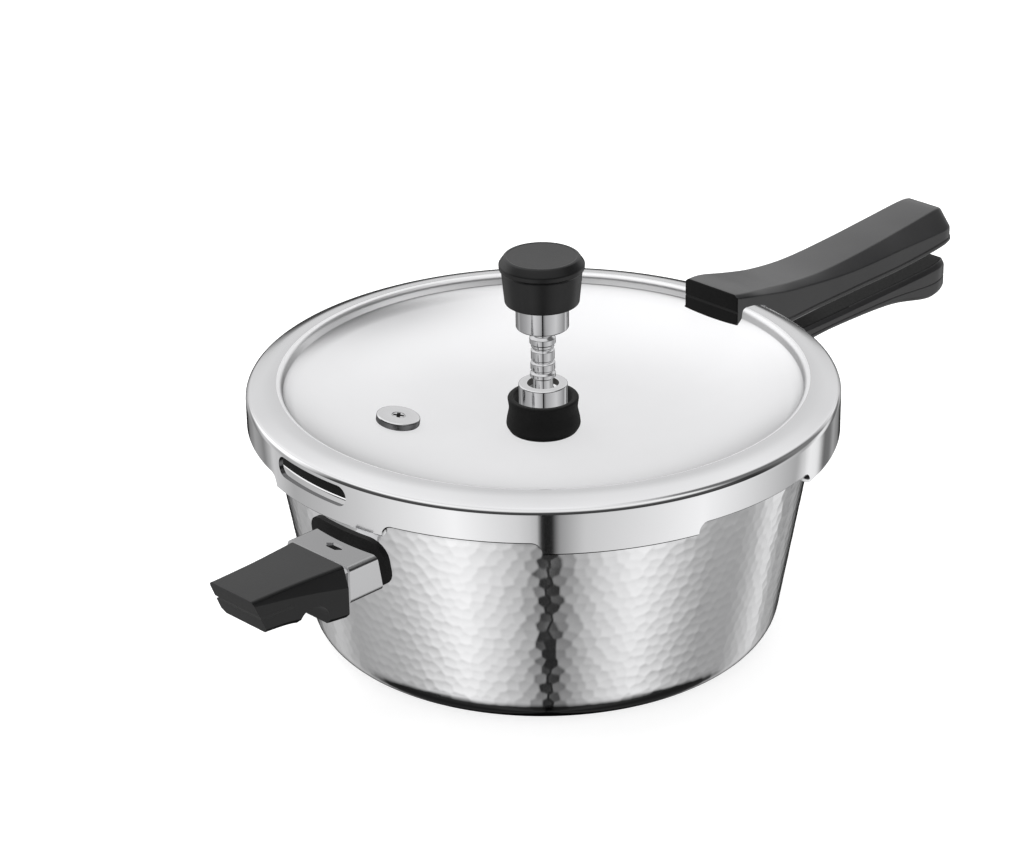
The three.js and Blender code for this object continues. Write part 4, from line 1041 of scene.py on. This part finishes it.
def build_world():
    """Soft panels left and right of the photo's view with a dark gap between, darker sides, a light back."""
    right, _, back = camera_axes()
    level = Vector((back.x, back.y, 0)).normalized()
    world = bpy.data.worlds.new("studio")
    bpy.context.scene.world = world
    world.use_nodes = True
    nodes, links = world.node_tree.nodes, world.node_tree.links
    place = nodes.new("ShaderNodeTexCoord")

    def dot(axis):
        node = nodes.new("ShaderNodeVectorMath")
        node.operation = "DOT_PRODUCT"
        node.inputs[1].default_value = axis
        links.new(place.outputs["Generated"], node.inputs[0])
        return node.outputs["Value"]

    turn = nodes.new("ShaderNodeMath")
    turn.operation = "ARCTAN2"
    links.new(dot(right), turn.inputs[0])
    links.new(dot(level), turn.inputs[1])
    share = nodes.new("ShaderNodeMapRange")
    share.inputs["From Min"].default_value = -math.pi
    share.inputs["From Max"].default_value = math.pi
    links.new(turn.outputs["Value"], share.inputs["Value"])

    def at(degrees):
        return (degrees + 180) / 360

    def grey(*stops):
        return [(position, (value,) * 3) for position, value in stops]

    def blend(factor, first, second, kind="MIX"):
        node = nodes.new("ShaderNodeMix")
        node.data_type = "RGBA"
        node.blend_type = kind
        for source, socket in ((factor, node.inputs[0]), (first, node.inputs[6]), (second, node.inputs[7])):
            if isinstance(source, (float, tuple)):
                socket.default_value = source
            else:
                links.new(source, socket)
        return node.outputs[2]

    def step(source, low, high):
        node = nodes.new("ShaderNodeMapRange")
        node.inputs["From Min"].default_value = low
        node.inputs["From Max"].default_value = high
        links.new(source, node.inputs["Value"])
        return node.outputs["Result"]

    def level_at(sine):
        return (sine + 1) / 2

    white = (1.0, 1.0, 1.0, 1.0)
    sine, ahead = dot((0, 0, 1)), dot(level)
    height = step(sine, -1.0, 1.0)
    high = ramp(nodes, links, share.outputs["Result"], *grey(
        (at(-180), 0.1), (at(-163), 0.05), (at(-157), 0.6), (at(-148), 0.8), (at(-136), 0.3),
        (at(-126), 0.62), (at(-112), 0.42), (at(-75), 0.62), (at(-34), 1.0), (at(-10), 0.7),
        (at(-2.2), 0.5), (at(-1.4), 0.012), (at(3.2), 0.012), (at(5.0), 0.3), (at(15), 0.62),
        (at(62), 0.98), (at(85), 0.72), (at(112), 0.4), (at(122), 0.9), (at(130), 0.85), (at(136), 0.2),
        (at(143), 0.3), (at(149), 0.85), (at(157), 0.6), (at(163), 0.05), (at(180), 0.1)))
    low = ramp(nodes, links, share.outputs["Result"], *grey(
        (at(-180), 0.05), (at(-169), 0.05), (at(-162), 0.6), (at(-150), 0.7), (at(-112), 0.36),
        (at(-85), 0.52), (at(-60), 0.84), (at(-42), 1.0), (at(-22), 0.72), (at(-9), 0.46),
        (at(-3.0), 0.25), (at(-2.2), 0.012), (at(4.6), 0.012), (at(6.0), 0.18), (at(14), 0.4),
        (at(28), 0.7), (at(46), 0.92), (at(64), 0.76), (at(85), 0.42), (at(105), 0.36),
        (at(150), 0.85), (at(162), 0.7), (at(169), 0.05), (at(180), 0.05)))
    upper = ramp(nodes, links, share.outputs["Result"], *grey(
        (at(-180), 1.0), (at(-135), 1.25), (at(-90), 1.15), (at(0), 0.85), (at(72), 1.0), (at(88), 0.2),
        (at(124), 0.2), (at(140), 1.2), (at(180), 1.0)))
    band = ramp(nodes, links, height, *grey(
        (0.0, 1.0), (level_at(-0.06), 1.0), (level_at(0.02), 0.05), (level_at(0.5), 0.08),
        (level_at(0.7), 1.0), (1.0, 1.0)))
    rear = ramp(nodes, links, height, *grey(
        (0.0, 0.03), (level_at(-0.7), 0.06), (level_at(-0.45), 0.34), (level_at(-0.2), 0.56),
        (level_at(0.1), 0.72), (level_at(0.3), 0.84), (level_at(0.5), 0.82), (level_at(0.93), 0.86),
        (1.0, 1.0)))
    under_front = ramp(nodes, links, height, *grey(
        (0.0, 0.03), (level_at(-0.9), 0.03), (level_at(-0.82), 0.6), (level_at(-0.74), 0.92),
        (level_at(-0.66), 1.05), (1.0, 1.0)))
    under_side = ramp(nodes, links, height, *grey(
        (0.0, 0.03), (level_at(-0.79), 0.03), (level_at(-0.73), 0.66), (level_at(-0.66), 0.92),
        (level_at(-0.58), 1.05), (1.0, 1.0)))
    floor_end = blend(step(ahead, 0.2, 0.45), under_side, under_front)
    round_about = blend(step(sine, -0.04, 0.12), blend(step(sine, -0.48, -0.62), high, low), upper)
    front = blend(step(ahead, -0.3, 0.1), white, band)
    both_ends = blend(step(ahead, -0.55, -0.8), front, rear)
    shaded = blend(1.0, blend(1.0, round_about, both_ends, "MULTIPLY"), floor_end, "MULTIPLY")
    lit = blend(step(sine, 0.9, 0.99), shaded, (1.2, 1.2, 1.2, 1.0))
    links.new(lit, nodes["Background"].inputs["Color"])
    nodes["Background"].inputs["Strength"].default_value = 1.0


def soft_light(name, place, target, size, power):
    """A wide lamp that shines on a target and isn't mirrored."""
    data = bpy.data.lights.new(name, "AREA")
    data.shape = "RECTANGLE"
    data.size, data.size_y = size
    data.energy = power
    light = bpy.data.objects.new(name, data)
    bpy.context.scene.collection.objects.link(light)
    light.location = place
    light.rotation_euler = (Vector(target) - Vector(place)).to_track_quat("-Z", "Y").to_euler()
    light.visible_glossy = False


build_camera()
build_floor()
build_world()
soft_light("overhead_panel", (0.2, 0.3, 1.8), (0, 0, 0), (1.6, 1.6), 18.0)
bpy.context.scene.view_settings.view_transform = "Standard"
